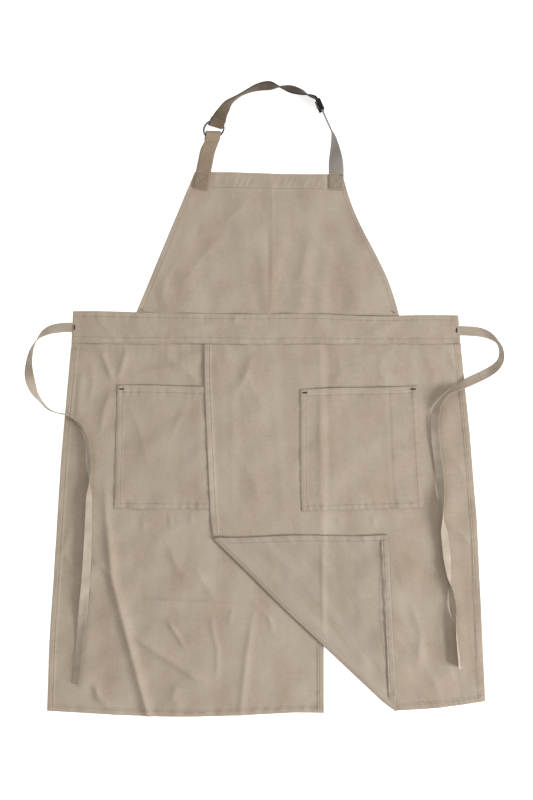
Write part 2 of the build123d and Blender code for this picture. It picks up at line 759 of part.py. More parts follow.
LEFT_TIE_Z = UNDER_FRONT_Z + GAP
RIGHT_TIE_Z = OVER_FRONT_Z + GAP
RIGHT_ROOT_Z = OVER_HEM_Z - TIE_THICK

PARTS = {
    "waistband_back": waistband_layer(0, CLOTH),
    "waistband_seam_stack": waistband_seam_stack(),
    "waistband_front": waistband_layer(OVER_PANEL_Z, OVER_FRONT_Z),
    "waistband_end_tacks": waistband_end_tacks(),
    "left_tie_root": tie("left_tie_root", LEFT_TIE_ROOT, LEFT_TIE_Z),
    "right_tie_root": tie("right_tie_root", RIGHT_TIE_ROOT, RIGHT_ROOT_Z),
    "bib_panel": bib_panel(),
    "bib_top_hem": bib_top_hem(),
    "bib_left_hem": bib_left_hem(),
    "bib_right_hem": bib_right_hem(),
    "bib_seam_tacks": bib_seam_tacks(),
    "neck_tab_foot": foot(TAB_X, TAB_LEAN),
    "neck_tab_box_stitch": box_stitch(TAB_X, TAB_LEAN),
    "neck_strap_foot": foot(STRAP_FOOT_X, 0),
    "neck_strap_box_stitch": box_stitch(STRAP_FOOT_X, 0),
    "neck_tab": neck_tab(),
    "neck_tab_ring_loop": webbing_loop(TAB_LOOP_TURN, TAB_LOOP_MOUTH, WEBBING),
    "neck_strap_ring_loop": webbing_loop(STRAP_LOOP_TURN, STRAP_LOOP_MOUTH, WEBBING + LAYER_SPLIT),
    "neck_strap_outer_run": neck_strap_outer_run(),
    "neck_strap_return_run": neck_strap_return_run(),
    "neck_strap_right_run": neck_strap_right_run(),
    "o_ring": o_ring(),
    "slider_frame": slider_frame(),
    "slider_centre_bar": slider_centre_bar(),
    "strap_end_loop": strap_end_loop(),
    "left_leg_panel": left_leg_panel(),
    "left_outer_hem": left_outer_hem(),
    "left_inner_hem": left_inner_hem(),
    "left_bottom_hem": left_bottom_hem(),
    "left_pocket_front": pocket_front(UNDER_POCKET_X, UNDER_FRONT_Z),
    "left_pocket_turnings": pocket_turnings(UNDER_POCKET_X, UNDER_FRONT_Z),
    "left_pocket_top_hem": pocket_top_hem(UNDER_POCKET_X, UNDER_FRONT_Z),
    "left_pocket_tacks": pocket_tacks(UNDER_POCKET_X, UNDER_FRONT_Z, (-1, 1)),
    "left_tie_tail": tie("left_tie_tail", LEFT_TIE_TAIL, LEFT_TIE_Z, GAP),
    "right_leg_panel": right_leg_panel(),
    "right_outer_hem": right_outer_hem(),
    "right_inner_hem": right_inner_hem(),
    "right_bottom_hem": right_bottom_hem(),
    "right_pocket_front": pocket_front(OVER_POCKET_X, OVER_FRONT_Z),
    "right_pocket_turnings": pocket_turnings(OVER_POCKET_X, OVER_FRONT_Z),
    "right_pocket_top_hem": pocket_top_hem(OVER_POCKET_X, OVER_FRONT_Z),
    "right_pocket_tacks": pocket_tacks(OVER_POCKET_X, OVER_FRONT_Z, (-1, 1)),
    "right_pocket_pen_slot": pen_slot_stitch(),
    "right_tie_tail": tie("right_tie_tail", RIGHT_TIE_TAIL, RIGHT_TIE_Z, GAP),
    "corner_flap_panel": corner_flap_panel(),
    "corner_flap_bottom_hem": corner_flap_bottom_hem(),
    "corner_flap_front_hem": corner_flap_front_hem(),
}

os.makedirs("parts", exist_ok=True)
for node, shape in PARTS.items():
    solids = shape if isinstance(shape, list) else [shape]
    whole = Compound(children=[Solid(solid.wrapped) for piece in solids for solid in piece.solids()])
    export_step(whole, f"parts/{node}.step")
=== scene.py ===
"""The finished look of the split-leg apron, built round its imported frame. Metres.

Cloth shapes are worked out in millimetres and turned into metres as they become meshes.
"""

import math

import bpy
import numpy as np
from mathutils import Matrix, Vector


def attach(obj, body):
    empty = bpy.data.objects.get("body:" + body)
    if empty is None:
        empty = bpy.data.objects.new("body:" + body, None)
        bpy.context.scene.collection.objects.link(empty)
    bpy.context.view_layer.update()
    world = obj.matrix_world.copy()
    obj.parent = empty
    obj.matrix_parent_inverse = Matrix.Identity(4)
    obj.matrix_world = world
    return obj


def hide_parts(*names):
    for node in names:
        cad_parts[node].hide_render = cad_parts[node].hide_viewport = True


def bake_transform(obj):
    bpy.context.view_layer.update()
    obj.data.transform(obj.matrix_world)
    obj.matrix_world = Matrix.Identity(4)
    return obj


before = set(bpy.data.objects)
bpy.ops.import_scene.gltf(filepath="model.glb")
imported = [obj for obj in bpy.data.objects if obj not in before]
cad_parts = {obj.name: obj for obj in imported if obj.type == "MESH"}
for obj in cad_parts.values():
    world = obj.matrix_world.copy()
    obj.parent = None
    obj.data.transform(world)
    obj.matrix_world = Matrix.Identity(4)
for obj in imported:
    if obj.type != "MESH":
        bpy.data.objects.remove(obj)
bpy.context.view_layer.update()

# ---------- camera
# The apron is seen from straight above, upright in the picture, with its hem at the foot.
# A long lens three metres up takes in a fixed length of the floor.
CAMERA_HEIGHT = 3
VIEW_LENGTH = 1.36
SENSOR = 36
VIEW_CENTRE_Y = -0.1224

camera_data = bpy.data.cameras.new("camera")
camera_data.sensor_width = SENSOR
camera_data.lens = SENSOR * CAMERA_HEIGHT / VIEW_LENGTH
camera = bpy.data.objects.new("camera", camera_data)
camera.location = (0, VIEW_CENTRE_Y, CAMERA_HEIGHT)
bpy.context.scene.collection.objects.link(camera)
bpy.context.scene.camera = camera

# ---------- studio light and floor
# A wide soft light from the lower right, a weaker one opposite and a pale floor.
# The floor is a plain white sweep, well lit, so that only contact shadows show on it.
bpy.context.scene.view_settings.view_transform = "Standard"


def soft_light(name, place, target, size, power):
    """A square area light that faces a point."""
    data = bpy.data.lights.new(name, "AREA")
    data.size = size
    data.energy = power
    light = bpy.data.objects.new(name, data)
    light.location = place
    way = Vector(target) - Vector(place)
    light.rotation_euler = way.to_track_quat("-Z", "Y").to_euler()
    bpy.context.scene.collection.objects.link(light)


soft_light("key", (3.1, -1.75, 1.75), (0, -0.05, 0), 1.3, 134)
soft_light("fill", (-0.6, 2.2, 2.4), (0, 0.2, 0), 2.5, 24)

world = bpy.data.worlds.new("studio")
world.use_nodes = True
sky = world.node_tree.nodes["Background"].inputs
sky["Color"].default_value = (1, 0.97, 0.93, 1)
sky["Strength"].default_value = 0.56
bpy.context.scene.world = world


class Shade:
    """A socket of a material's nodes, so that shader maths reads as arithmetic."""

    def __init__(self, tree, socket=None):
        self.tree = tree
        self.socket = socket

    def plug(self, node, sockets):
        """Gives a node's sockets their values, or links them to other shades."""
        for name, value in dict(sockets).items():
            if isinstance(value, Shade):
                self.tree.links.new(value.socket, node.inputs[name])
            else:
                node.inputs[name].default_value = value

    def make(self, kind, settings=(), sockets=(), output=0):
        """Adds a node: its settings are set first, then its sockets' values or links."""
        node = self.tree.nodes.new(kind)
        for name, value in dict(settings).items():
            setattr(node, name, value)
        self.plug(node, sockets)
        return Shade(self.tree, node.outputs[output])

    def maths(self, operation, *values):
        """A Math node on up to three values."""
        return self.make("ShaderNodeMath", {"operation": operation}, dict(enumerate(values)))

    def __add__(self, other):
        return self.maths("ADD", self, other)

    def __sub__(self, other):
        return self.maths("SUBTRACT", self, other)

    def __rsub__(self, other):
        return self.maths("SUBTRACT", other, self)

    def __mul__(self, other):
        return self.maths("MULTIPLY", self, other)

    __radd__ = __add__
    __rmul__ = __mul__

    def tint(self, dark, light):
        """A colour between two, by this value."""
        sockets = {0: self, 6: (*dark, 1), 7: (*light, 1)}
        return self.make("ShaderNodeMix", {"data_type": "RGBA"}, sockets, 2)

    def scaled(self, across, along):
        """This place stretched: across times along x and along times along y."""
        return self.make("ShaderNodeMapping", {}, {"Vector": self, "Scale": (across, along, 1)})

    def noise(self, scale, detail, roughness=0.5):
        """A cloudy pattern over this place."""
        return self.make("ShaderNodeTexNoise", {}, {"Vector": self, "Scale": scale, "Detail": detail,
                                                    "Roughness": roughness})

    def bands(self, direction, pitch, distortion, detail=2, detail_scale=1):
        """Ribs over this place, a pitch apart; a wave texture repeats every 0.31 at scale 1."""
        sockets = {"Vector": self, "Scale": 0.31 / pitch, "Distortion": distortion, "Detail": detail,
                   "Detail Scale": detail_scale}
        return self.make("ShaderNodeTexWave", {"bands_direction": direction}, sockets, 1)

    def bump(self, strength, distance):
        """A surface's relief, from this height."""
        sockets = {"Height": self, "Strength": strength, "Distance": distance}
        return self.make("ShaderNodeBump", {}, sockets)


def new_material(name):
    """A material that has nodes, and a shade to make its patterns from."""
    material = bpy.data.materials.new(name)
    material.use_nodes = True
    return material, Shade(material.node_tree)


def coat(start, sockets):
    """Sets the sockets of a material's surface."""
    start.plug(start.tree.nodes["Principled BSDF"], sockets)


FLOOR_HALF = 6
floor_mesh = bpy.data.meshes.new("floor")
floor_corners = [(x * FLOOR_HALF, y * FLOOR_HALF, 0) for x, y in ((-1, -1), (1, -1), (1, 1), (-1, 1))]
floor_mesh.from_pydata(floor_corners, [], [(0, 1, 2, 3)])
floor = bpy.data.objects.new("floor", floor_mesh)
floor_material, sweep = new_material("white_sweep")
coat(sweep, {"Base Color": (0.93, 0.93, 0.93, 1), "Roughness": 0.9, "Emission Color": (1, 1, 1, 1),
             "Emission Strength": 0.6})
floor_mesh.materials.append(floor_material)
bpy.context.scene.collection.objects.link(floor)

# ---------- waistband
# A folded band of cotton twill, two faces thick, that holds the bib and both legs.
# It is stitched close to both long edges, over the turned seam allowances inside it.
MM = 0.001
CLOTH = 0.6
BAND_TOP = 3.9
BAND_LEFT = ((-328.5, 28), (-331.5, -26.5))
BAND_RIGHT = ((326, 20.5), (330, -28.5))
BAND_LENGTH = 656
BAND_HEIGHT = 52
BAND_EDGE_ROUND = 1.6
BAND_EDGE_ROW = 1.8
BAND_TOP_ROW = 8.5
BAND_FOOT_ROW = 10.5
BAND_CREASES = [
    ([(-292, 20), (-268, -6), (-250, -26)], 1.6, 6),
    ([(-180, -24), (-120, 2), (-70, 8)], 0.9, 7),
    ([(150, -22), (205, 2), (236, 14)], 1, 7),
]
HEM_STITCH = 1.6
TWILL_DARK = (0.30, 0.228, 0.162)
TWILL_LIGHT = (0.475, 0.408, 0.337)
WEAVE_PITCH = 0.0011


def smooth(value, low, high):
    """0 below low and 1 above high, with a smooth cubic rise between."""
    share = np.clip((value - low) / (high - low), 0, 1)
    return share * share * (3 - 2 * share)


def bell(value, middle, width):
    """A bell curve, 1 at its middle, that falls to about a third at its width."""
    return np.exp(-(((value - middle) / width) ** 2))


def waves(x, y, seed, size, height):
    """Gentle swells: six sine waves of about one size in directions drawn from a seed."""
    draw = np.random.default_rng(seed)
    total = np.zeros(np.broadcast(x, y).shape)
    for _ in range(6):
        turn = draw.uniform(0, math.pi)
        length = size * draw.uniform(0.6, 1.6)
        start = draw.uniform(0, 2 * math.pi)
        way = x * math.cos(turn) + y * math.sin(turn)
        total = total + np.sin(way * 2 * math.pi / length + start)
    return total * height / 6


def swells(x, y, level, seed, *sizes):
    """A level with swells of several sizes and heights on it, each from the next odd seed."""
    for size, height in sizes:
        level = level + waves(x, y, seed, size, height)
        seed = seed + 2
    return level


def crease(x, y, points, height, width, ends=0.3):
    """A crease along a line: a bell curve of the distance to it, faded out at both ends."""
    points = np.array(points, float)
    lengths = np.hypot(*np.diff(points, axis=0).T)
    marks = np.concatenate([[0], np.cumsum(lengths)]) / lengths.sum()
    nearest = np.full(np.broadcast(x, y).shape, 1e9)
    place = np.zeros(nearest.shape)
    for first, last, low, high in zip(points, points[1:], marks, marks[1:]):
        way = last - first
        share = ((x - first[0]) * way[0] + (y - first[1]) * way[1]) / (way @ way)
        share = np.clip(share, 0, 1)
        gap = np.hypot(x - first[0] - share * way[0], y - first[1] - share * way[1])
        place = np.where(gap < nearest, low + (high - low) * share, place)
        nearest = np.minimum(gap, nearest)
    fade = smooth(place, 0, ends) * (1 - smooth(place, 1 - ends, 1)) + 0.06 * (ends < 0.05)
    return height * (0.7 * bell(nearest, 0, width) + 0.3 * bell(nearest, 0, 0.4 * width)) * fade


def creased(z, x, y, creases, scale=1, share=1):
    """A height with creases added; each is its line, height, width and perhaps its faded ends."""
    for points, height, width, *ends in creases:
        z = z + crease(x, y, points, scale * height, width, *ends) * share
    return z


def puckers(along, seed, height):
    """The small gathers beside a row of stitches: uneven waves along the seam."""
    still = 0 * along
    return height * (waves(along, still, seed, 13, 1.6) + waves(along, still, seed + 1, 31, 1.2))


def hem(distance, width, along, seed, height=1.1):
    """A turned hem: raised as far as its width, grooved at its stitches, gathered beside them."""
    raised = height * (1 - smooth(distance, width, width + 1.6))
    groove = -0.55 * bell(distance, width - HEM_STITCH, 0.8)
    near = bell(distance, width * 0.55, 8)
    edge = -0.7 * (1 - smooth(distance, 0, 1.2)) ** 2
    return raised + groove + edge + puckers(along, seed, 0.75) * near


def row(distance, place, along, seed, height=0.3):
    """A row of stitches: a groove at its place with gathers each side of it."""
    groove = -0.5 * bell(distance, place, 0.8)
    return groove + 1.7 * puckers(along, seed, height) * bell(distance, place, 6)


def spread(length, step, marks=()):
    """Places along a length, evenly spaced, with more of them round each mark."""
    places = [np.linspace(0, length, max(2, int(round(length / step)) + 1))]
    offsets = np.array([-3, -1.8, -1.1, -0.6, 0, 0.6, 1.1, 1.8, 3])
    for mark in marks:
        places.append(mark + offsets)
    places = np.unique(np.clip(np.concatenate(places), 0, length).round(3))
    keep = [places[0]]
    for place in places[1:]:
        if place - keep[-1] > 0.35:
            keep.append(place)
    keep[-1] = length
    return np.array(keep) / length


def new_piece(name, points, faces, flat=None):
    """A smooth piece from points in millimetres; flat is each point's place in the unsewn cloth."""
    mesh = bpy.data.meshes.new(name)
    mesh.from_pydata((points.reshape(-1, 3) * MM).tolist(), [], faces)
    if flat is not None:
        loops = np.empty(len(mesh.loops), dtype=np.int32)
        mesh.loops.foreach_get("vertex_index", loops)
        flat = flat.reshape(-1, 2) * MM
        mesh.uv_layers.new(name="cloth").data.foreach_set("uv", flat[loops].ravel())
    mesh.polygons.foreach_set("use_smooth", np.ones(len(mesh.polygons), bool))
    piece = bpy.data.objects.new(name, mesh)
    bpy.context.scene.collection.objects.link(piece)
    return piece


def unit(vectors):
    """Vectors of length 1, in the same directions."""
    return vectors / np.maximum(np.linalg.norm(vectors, axis=-1, keepdims=True), 1e-9)


def shell(name, top, thick, across, down, material):
    """Cloth from a grid of top points: the same grid moved in by its thickness, closed at the rim.

    The inside grid is moved against the surface's normal, which is the cross product of the
    grid's two directions. across and down are the flat cloth's own coordinates, for the weave.
    """
    rows, columns = top.shape[:2]
    normal = unit(np.cross(np.gradient(top, axis=0), np.gradient(top, axis=1)))
    under = top - normal * np.broadcast_to(thick, top.shape[:2])[..., None]
    count = rows * columns
    index = np.arange(count).reshape(rows, columns)
    quads = np.stack([index[:-1, :-1], index[1:, :-1], index[1:, 1:], index[:-1, 1:]], -1)
    quads = quads.reshape(-1, 4)
    rim = np.concatenate([index[0, :-1], index[:-1, -1], index[-1, :0:-1], index[:0:-1, 0]])
    next_rim = np.roll(rim, -1)
    sides = np.stack([rim, next_rim, next_rim + count, rim + count], -1)
    faces = np.concatenate([quads, quads[:, ::-1] + count, sides])
    flat = np.stack(np.broadcast_arrays(across, down), -1)
    piece = new_piece(name, np.stack([top, under]), faces.tolist(), np.stack([flat, flat]))
    piece.data.materials.append(material)
    return piece


def twill(name, dark, light, turn=0):
    """Woven cotton: diagonal ribs of the weave, uneven yarns, soft mottling and a napped sheen."""
    material, start = new_material(name)
    flat = start.make("ShaderNodeUVMap", {"uv_map": "cloth"})
    turned = start.make("ShaderNodeMapping", {}, {"Vector": flat, "Rotation": (0, 0, turn)})
    ribs = turned.bands("DIAGONAL", WEAVE_PITCH, 1.2, 2, 2)
    yarn = turned.scaled(900, 40).noise(1, 3) * 0.5 + turned.scaled(40, 900).noise(1, 3) * 0.5
    wide = flat.noise(14, 5, 0.6)
    fine = flat.noise(160, 6)
    streaks = flat.scaled(26, 7).noise(1, 4)
    tone = wide * 0.75 + streaks * 0.8 + fine * 0.35 + yarn * 0.5 + ribs * 0.12 - 0.66
    height = ribs * 0.5 + yarn * 1.1 + fine * 0.4
    coat(start, {"Base Color": tone.tint(dark, light), "Roughness": fine * 0.12 + 0.82,
                 "Normal": height.bump(0.35, 0.0004), "Sheen Weight": 0.12, "Sheen Roughness": 0.5,
                 "Specular IOR Level": 0.25})
    return material


canvas = twill("canvas_twill", TWILL_DARK, TWILL_LIGHT)


def between(left, right, s, t):
    """The point a share s across from one edge line to another, both taken at a share t down."""
    left = np.array(left, float)
    right = np.array(right, float)
    marks_left = np.linspace(0, 1, len(left)) if left.shape[1] == 2 else left[:, 2]
    marks_right = np.linspace(0, 1, len(right)) if right.shape[1] == 2 else right[:, 2]
    first = [np.interp(t, marks_left, left[:, k]) for k in (0, 1)]
    last = [np.interp(t, marks_right, right[:, k]) for k in (0, 1)]
    return [a + (b - a) * s for a, b in zip(first, last)]


def band(s, t):
    """The waistband's top face: flat, rounded at its edges, with two rows of stitches."""
    x, y = between(BAND_LEFT, BAND_RIGHT, s, t)
    from_top = t * BAND_HEIGHT
    from_foot = BAND_HEIGHT - from_top
    from_end = np.minimum(s, 1 - s) * BAND_LENGTH
    along = s * BAND_LENGTH
    y = y + 0.9 * np.sin(along / 47) * smooth(from_foot, 20, 50) + 0.6 * np.sin(along / 31 + 1)
    z = swells(x, y, BAND_TOP, 3, (90, 1.5), (34, 0.9))
    z = z + 0.45 * row(from_top, BAND_TOP_ROW, along, 11, 0.7)
    z = z + 0.45 * row(from_foot, BAND_FOOT_ROW, along, 14, 0.8)
    z = z + row(from_foot, BAND_EDGE_ROW, along, 17, 0.25)
    edge = np.minimum(np.minimum(from_top, from_foot), from_end)
    z = z - 1.5 * (1 - smooth(edge, 0, BAND_EDGE_ROUND)) ** 2
    return np.stack([x, y, creased(z, x, y, BAND_CREASES, share=smooth(edge, 0, 9))], -1)


def lay_grid(surface, width, length, step, across_marks=(), down_marks=()):
    """A grid of points on a surface, with its flat coordinates."""
    s = spread(width, step, across_marks)
    t = spread(length, step, down_marks)
    s, t = np.meshgrid(s, t)
    return surface(s, t), s * width, t * length


band_rows = (BAND_TOP_ROW, BAND_HEIGHT - BAND_FOOT_ROW, BAND_HEIGHT - BAND_EDGE_ROW)
top, across, down = lay_grid(band, BAND_LENGTH, BAND_HEIGHT, 3.2, (0, BAND_LENGTH),
                             (0, BAND_EDGE_ROW, *band_rows, BAND_HEIGHT))
waistband = shell("waistband", top, top[..., 2] - 0.1, across, down, canvas)
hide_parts("waistband_front", "waistband_back", "waistband_seam_stack")
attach(waistband, "waistband")

# ---------- bib
# One layer of the same twill, cut as a trapezoid, with a wide hem along its top and a narrow
# one down each side. Its foot is sewn into the top of the waistband.
BIB_LEFT = ((-121.7, 265), (-222.5, 24))
BIB_RIGHT = ((129.5, 260.5), (226, 19.5))
BIB_TOP_HEM = 26.5
BIB_SIDE_HEM = 10
BIB_LENGTH = 241
BIB_GRID = 350
BIB_CREASES = [
    ([(9, 250), (9.5, 150), (9, 30)], 0.8, 2.6, 0.02),
    ([(-150, 60), (-110, 120), (-60, 175)], 1.5, 10),
    ([(60, 180), (110, 120), (150, 60)], 1.3, 11),
    ([(-20, 230), (-60, 190), (-95, 160)], 1, 8),
    ([(-180, 40), (-172, 80), (-150, 118)], 1.2, 6),
    ([(40, 60), (62, 100), (70, 150)], 1, 8),
]


def bib_surface(s, t):
    """The bib's top face: hems on three sides and soft upright ripples near its foot."""
    x, y = between(BIB_LEFT, BIB_RIGHT, s, t)
    width = 251 + 197 * t
    from_top = t * BIB_LENGTH
    from_left = s * width
    from_right = (1 - s) * width
    x = x - 5.2 * s * np.sin(2 * math.pi * t)
    y = y + 0.5 * np.sin(s * 7.3) * (1 - smooth(t, 0, 0.1))
    z = swells(x, y, 2.5, 21, (130, 3), (52, 1.4), (24, 0.35))
    low = 0.15 + 0.85 * smooth(t, 0.25, 0.75)
    lean = x - 0.12 * (y - 30) * np.sign(x)
    ripple = np.sin(lean / 7.1 + 0.8 * np.sin(y / 50)) + 0.9 * np.sin(lean / 12.3 + 2)
    ripple = ripple + 0.35 * np.sin(lean / 4.6 + 1)
    z = z + low * 1.05 * ripple * (0.65 + 0.35 * np.sin(x / 45 + 1))
    z = creased(z, x, y, BIB_CREASES) + hem(from_top, BIB_TOP_HEM, from_left, 31, 0.4)
    sides = 0.6 - 0.3 * (1 - smooth(from_top, 18, 30))
    z = z + hem(from_left, BIB_SIDE_HEM, from_top, 33, 0.5) * sides
    z = z + hem(from_right, BIB_SIDE_HEM, from_top, 35, 0.5) * sides
    seam = smooth(t, 0.955, 1)
    z = z * (1 - seam) + 2.2 * seam
    feet = (1 - smooth(abs(x + 110), 16, 26)) + (1 - smooth(abs(x - 118.5), 14, 22))
    feet = feet * smooth(y, 222, 236)
    z = z * (1 - feet) + 1.9 * feet
    return np.stack([x, y, np.maximum(z, 0.75)], -1)


top, across, down = lay_grid(bib_surface, BIB_GRID, BIB_LENGTH, 3, (0, 6.5, BIB_GRID - 6.5, BIB_GRID),
                             (0, BIB_TOP_HEM - HEM_STITCH, BIB_TOP_HEM))
bib = shell("bib", top, np.minimum(CLOTH, top[..., 2] - 0.05), across, down, canvas)
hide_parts("bib_panel", "bib_top_hem", "bib_left_hem", "bib_right_hem")
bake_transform(bib)

# ---------- left leg
# The leg underneath: one layer of twill with narrow hems on both sides and along its foot.
# It has been folded in storage and lies in soft creases, gathered at the waist seam.
LEFT_OUTER = ((-331, -24.5, 0), (-348, -210, 0.3), (-359.6, -394, 0.59),
              (-368.5, -530, 0.81), (-372.5, -650, 1))
LEFT_INNER = ((95, -26.5, 0), (97, -400, 0.6), (97.6, -654, 1))
LEG_LENGTH = 627
LEG_HEM = 10
HEM_ROW = LEG_HEM - HEM_STITCH
LEFT_WIDTHS = (426, 470)
LEG_LOWEST = 0.75
LEFT_CREASES = [
    ([(-258, -95), (-272, -62), (-283, -30)], 2.4, 7),
    ([(-256, -96), (-246, -66), (-236, -34)], 2, 7),
    ([(-262, -100), (-276, -140), (-283, -185)], 1.8, 8),
    ([(-310, -60), (-318, -110), (-322, -160)], 1.6, 8),
    ([(-300, -45), (-295, -90), (-300, -130)], 1.3, 8),
    ([(-240, -86), (-200, -72), (-160, -66), (-120, -80)], 1.6, 7),
    ([(-185, -35), (-165, -52), (-130, -76), (-112, -95)], 1.7, 8),
    ([(-277, -225), (-272, -320), (-262, -426), (-234, -535), (-206, -640), (-165, -790)], 4.6, 9),
    ([(-300, -395), (-282, -402), (-262, -426)], 1.5, 7),
    ([(-240, -514), (-180, -555), (-125, -590), (-80, -614)], 3.2, 8),
    ([(-225, -461), (-120, -466), (0, -474)], 2.2, 3.6),
    ([(-17, -450), (-21, -480), (-33, -550), (-42, -632), (-52, -720)], 3, 6),
    ([(-125, -404), (-100, -440), (-82, -478)], 1.9, 8),
    ([(-170, -360), (-150, -410), (-120, -430)], 1.6, 10),
    ([(-96, -470), (-91, -515), (-83, -548), (-86, -610)], 2.2, 4),
    ([(-26, -464), (4, -492), (14, -524)], 2.8, 4),
    ([(-57, -472), (-66, -508)], 2.2, 3),
    ([(-172, -492), (-152, -522), (-136, -548)], 2, 4),
    ([(-210, -325), (-208, -345)], 0.8, 4),
    ([(-165, -312), (-163, -340)], 0.9, 4),
    ([(-130, -312), (-126, -336)], 0.9, 4),
    ([(-330, -330), (-345, -380), (-320, -420)], 1.4, 8),
    ([(-352, -420), (-300, -440), (-282, -470)], 1, 7),
    ([(-292, -600), (-286, -630), (-262, -648)], 1.6, 6),
    ([(-300, -600), (-280, -630), (-250, -645)], 1.4, 8),
    ([(-150, -600), (-160, -630), (-140, -650)], 1.6, 8),
]


def left_drape(x, y):
    """How the left leg lies: swells, storage creases, and flat under the other leg."""
    z = swells(x, y, 2.4, 41, (190, 3), (75, 1.9), (30, 0.5))
    z = creased(z, x, y, LEFT_CREASES, 1.5)
    calm = smooth(x, -130, -85) * smooth(-y, 350, 400)
    z = z + (1.3 - z) * 0.5 * calm
    hidden = smooth(x, -100, -80) * smooth(y + 355 + (x + 90) * 0.953, -25, 5)
    z = z * (1 - hidden) + 0.9 * hidden
    seam = smooth(y, -46, -27)
    return np.maximum(z * (1 - seam) + 1.6 * seam, LEG_LOWEST)


def leg_gathers(x, y, seed):
    """Small upright gathers below the waist seam, fading down the cloth."""
    return puckers(x, seed, 0.45) * smooth(y, -75, -30)


def left_surface(s, t):
    """The left leg's top face."""
    x, y = between(LEFT_OUTER, LEFT_INNER, s, t)
    y = y - 8.5 * np.sin(math.pi * np.clip(s * 1.12, 0, 1)) * smooth(t, 0.75, 1)
    width = LEFT_WIDTHS[0] + (LEFT_WIDTHS[1] - LEFT_WIDTHS[0]) * t
    from_foot = (1 - t) * LEG_LENGTH
    z = left_drape(x, y) + leg_gathers(x, y, 51)
    corner = np.minimum(s * width, from_foot)
    z = z + hem(s * width, LEG_HEM, t * LEG_LENGTH, 53)
    z = z + hem((1 - s) * width, LEG_HEM, t * LEG_LENGTH, 55)
    z = z + hem(from_foot, LEG_HEM, s * width, 57) * smooth(corner + 6, 0, 12)
    return np.stack([x, y, np.maximum(z, LEG_LOWEST)], -1)


top, across, down = lay_grid(left_surface, 470, LEG_LENGTH, 3.3, (0, HEM_ROW, 470 - HEM_ROW, 470),
                             (LEG_LENGTH - HEM_ROW, LEG_LENGTH))
left_leg = shell("left_leg", top, CLOTH, across, down, canvas)
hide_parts("left_leg_panel", "left_outer_hem", "left_inner_hem", "left_bottom_hem")
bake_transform(left_leg)

# ---------- left pocket
# A patch pocket of the same twill. Its edges are turned in and sewn down with two rows of
# stitches on the sides and foot, and one along the hem of its mouth.
POCKET_WIDTH = 200
POCKET_LENGTH = 209
POCKET_ROWS = (1.8, 9.8)
MOUTH_ROW = 11.5
LEFT_POCKET_OUTER = ((-253.3, -97.6), (-256.5, -205), (-258.9, -307.5))
LEFT_POCKET_INNER = ((-53, -98.5), (-56, -205), (-58, -309))
LEFT_POCKET_CREASES = [
    ([(-238, -118), (-215, -175), (-200, -240)], 1.2, 8),
    ([(-130, -120), (-152, -160), (-170, -210)], 1.1, 7),
]


def pocket_relief(x, y, s, t, seed):
    """A pocket above its leg: turned edges, a slack front, and its rows of stitches."""
    from_left = s * POCKET_WIDTH
    from_right = (1 - s) * POCKET_WIDTH
    from_top = t * POCKET_LENGTH
    from_foot = (1 - t) * POCKET_LENGTH
    inside = np.minimum(np.minimum(from_left, from_right), from_foot)
    z = 1.2 + 0.5 * (1 - smooth(np.minimum(inside, from_top + 2), 10, 12.5))
    z = z + 1.6 * smooth(inside, 12, 60) * (0.7 + 0.3 * np.cos(s * 6)) + waves(x, y, seed, 60, 0.6)
    for place in POCKET_ROWS:
        z = z + row(from_left, place, from_top, seed + 1, 0.22) * smooth(from_foot, 0, place)
        z = z + row(from_right, place, from_top, seed + 2, 0.22) * smooth(from_foot, 0, place)
        z = z + row(from_foot, place, from_left, seed + 3, 0.3)
    z = z + row(from_top, MOUTH_ROW, from_left, seed + 4, 0.4)
    edge = np.minimum(inside, from_top)
    return z - 0.9 * (1 - smooth(edge, 0, 1.3)) ** 2


def left_pocket_surface(s, t):
    """The left pocket's top face, over the left leg's drape."""
    x, y = between(LEFT_POCKET_OUTER, LEFT_POCKET_INNER, s, t)
    y = y + 1.2 * np.sin(s * 5.5 + 0.6) * (1 - smooth(t, 0, 0.2))
    covered = smooth(x, -116, -101)
    z = left_drape(x, y) + pocket_relief(x, y, s, t, 61) * (1 - covered) + 0.9 * covered
    return np.stack([x, y, creased(z, x, y, LEFT_POCKET_CREASES)], -1)


def pocket_piece(name, surface, side):
    """One pocket as a cloth shell that rides on its leg."""
    sides = (0, *POCKET_ROWS, *(POCKET_WIDTH - place for place in POCKET_ROWS), POCKET_WIDTH)
    foot = (0, MOUTH_ROW, *(POCKET_LENGTH - place for place in POCKET_ROWS), POCKET_LENGTH)
    top, across, down = lay_grid(surface, POCKET_WIDTH, POCKET_LENGTH, 2.6, sides, foot)
    piece = shell(name, top, CLOTH, across + 37, down, canvas)
    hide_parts(f"{side}_pocket_front", f"{side}_pocket_turnings", f"{side}_pocket_top_hem")
    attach(piece, f"{side}_leg")


pocket_piece("left_pocket", left_pocket_surface, "left")

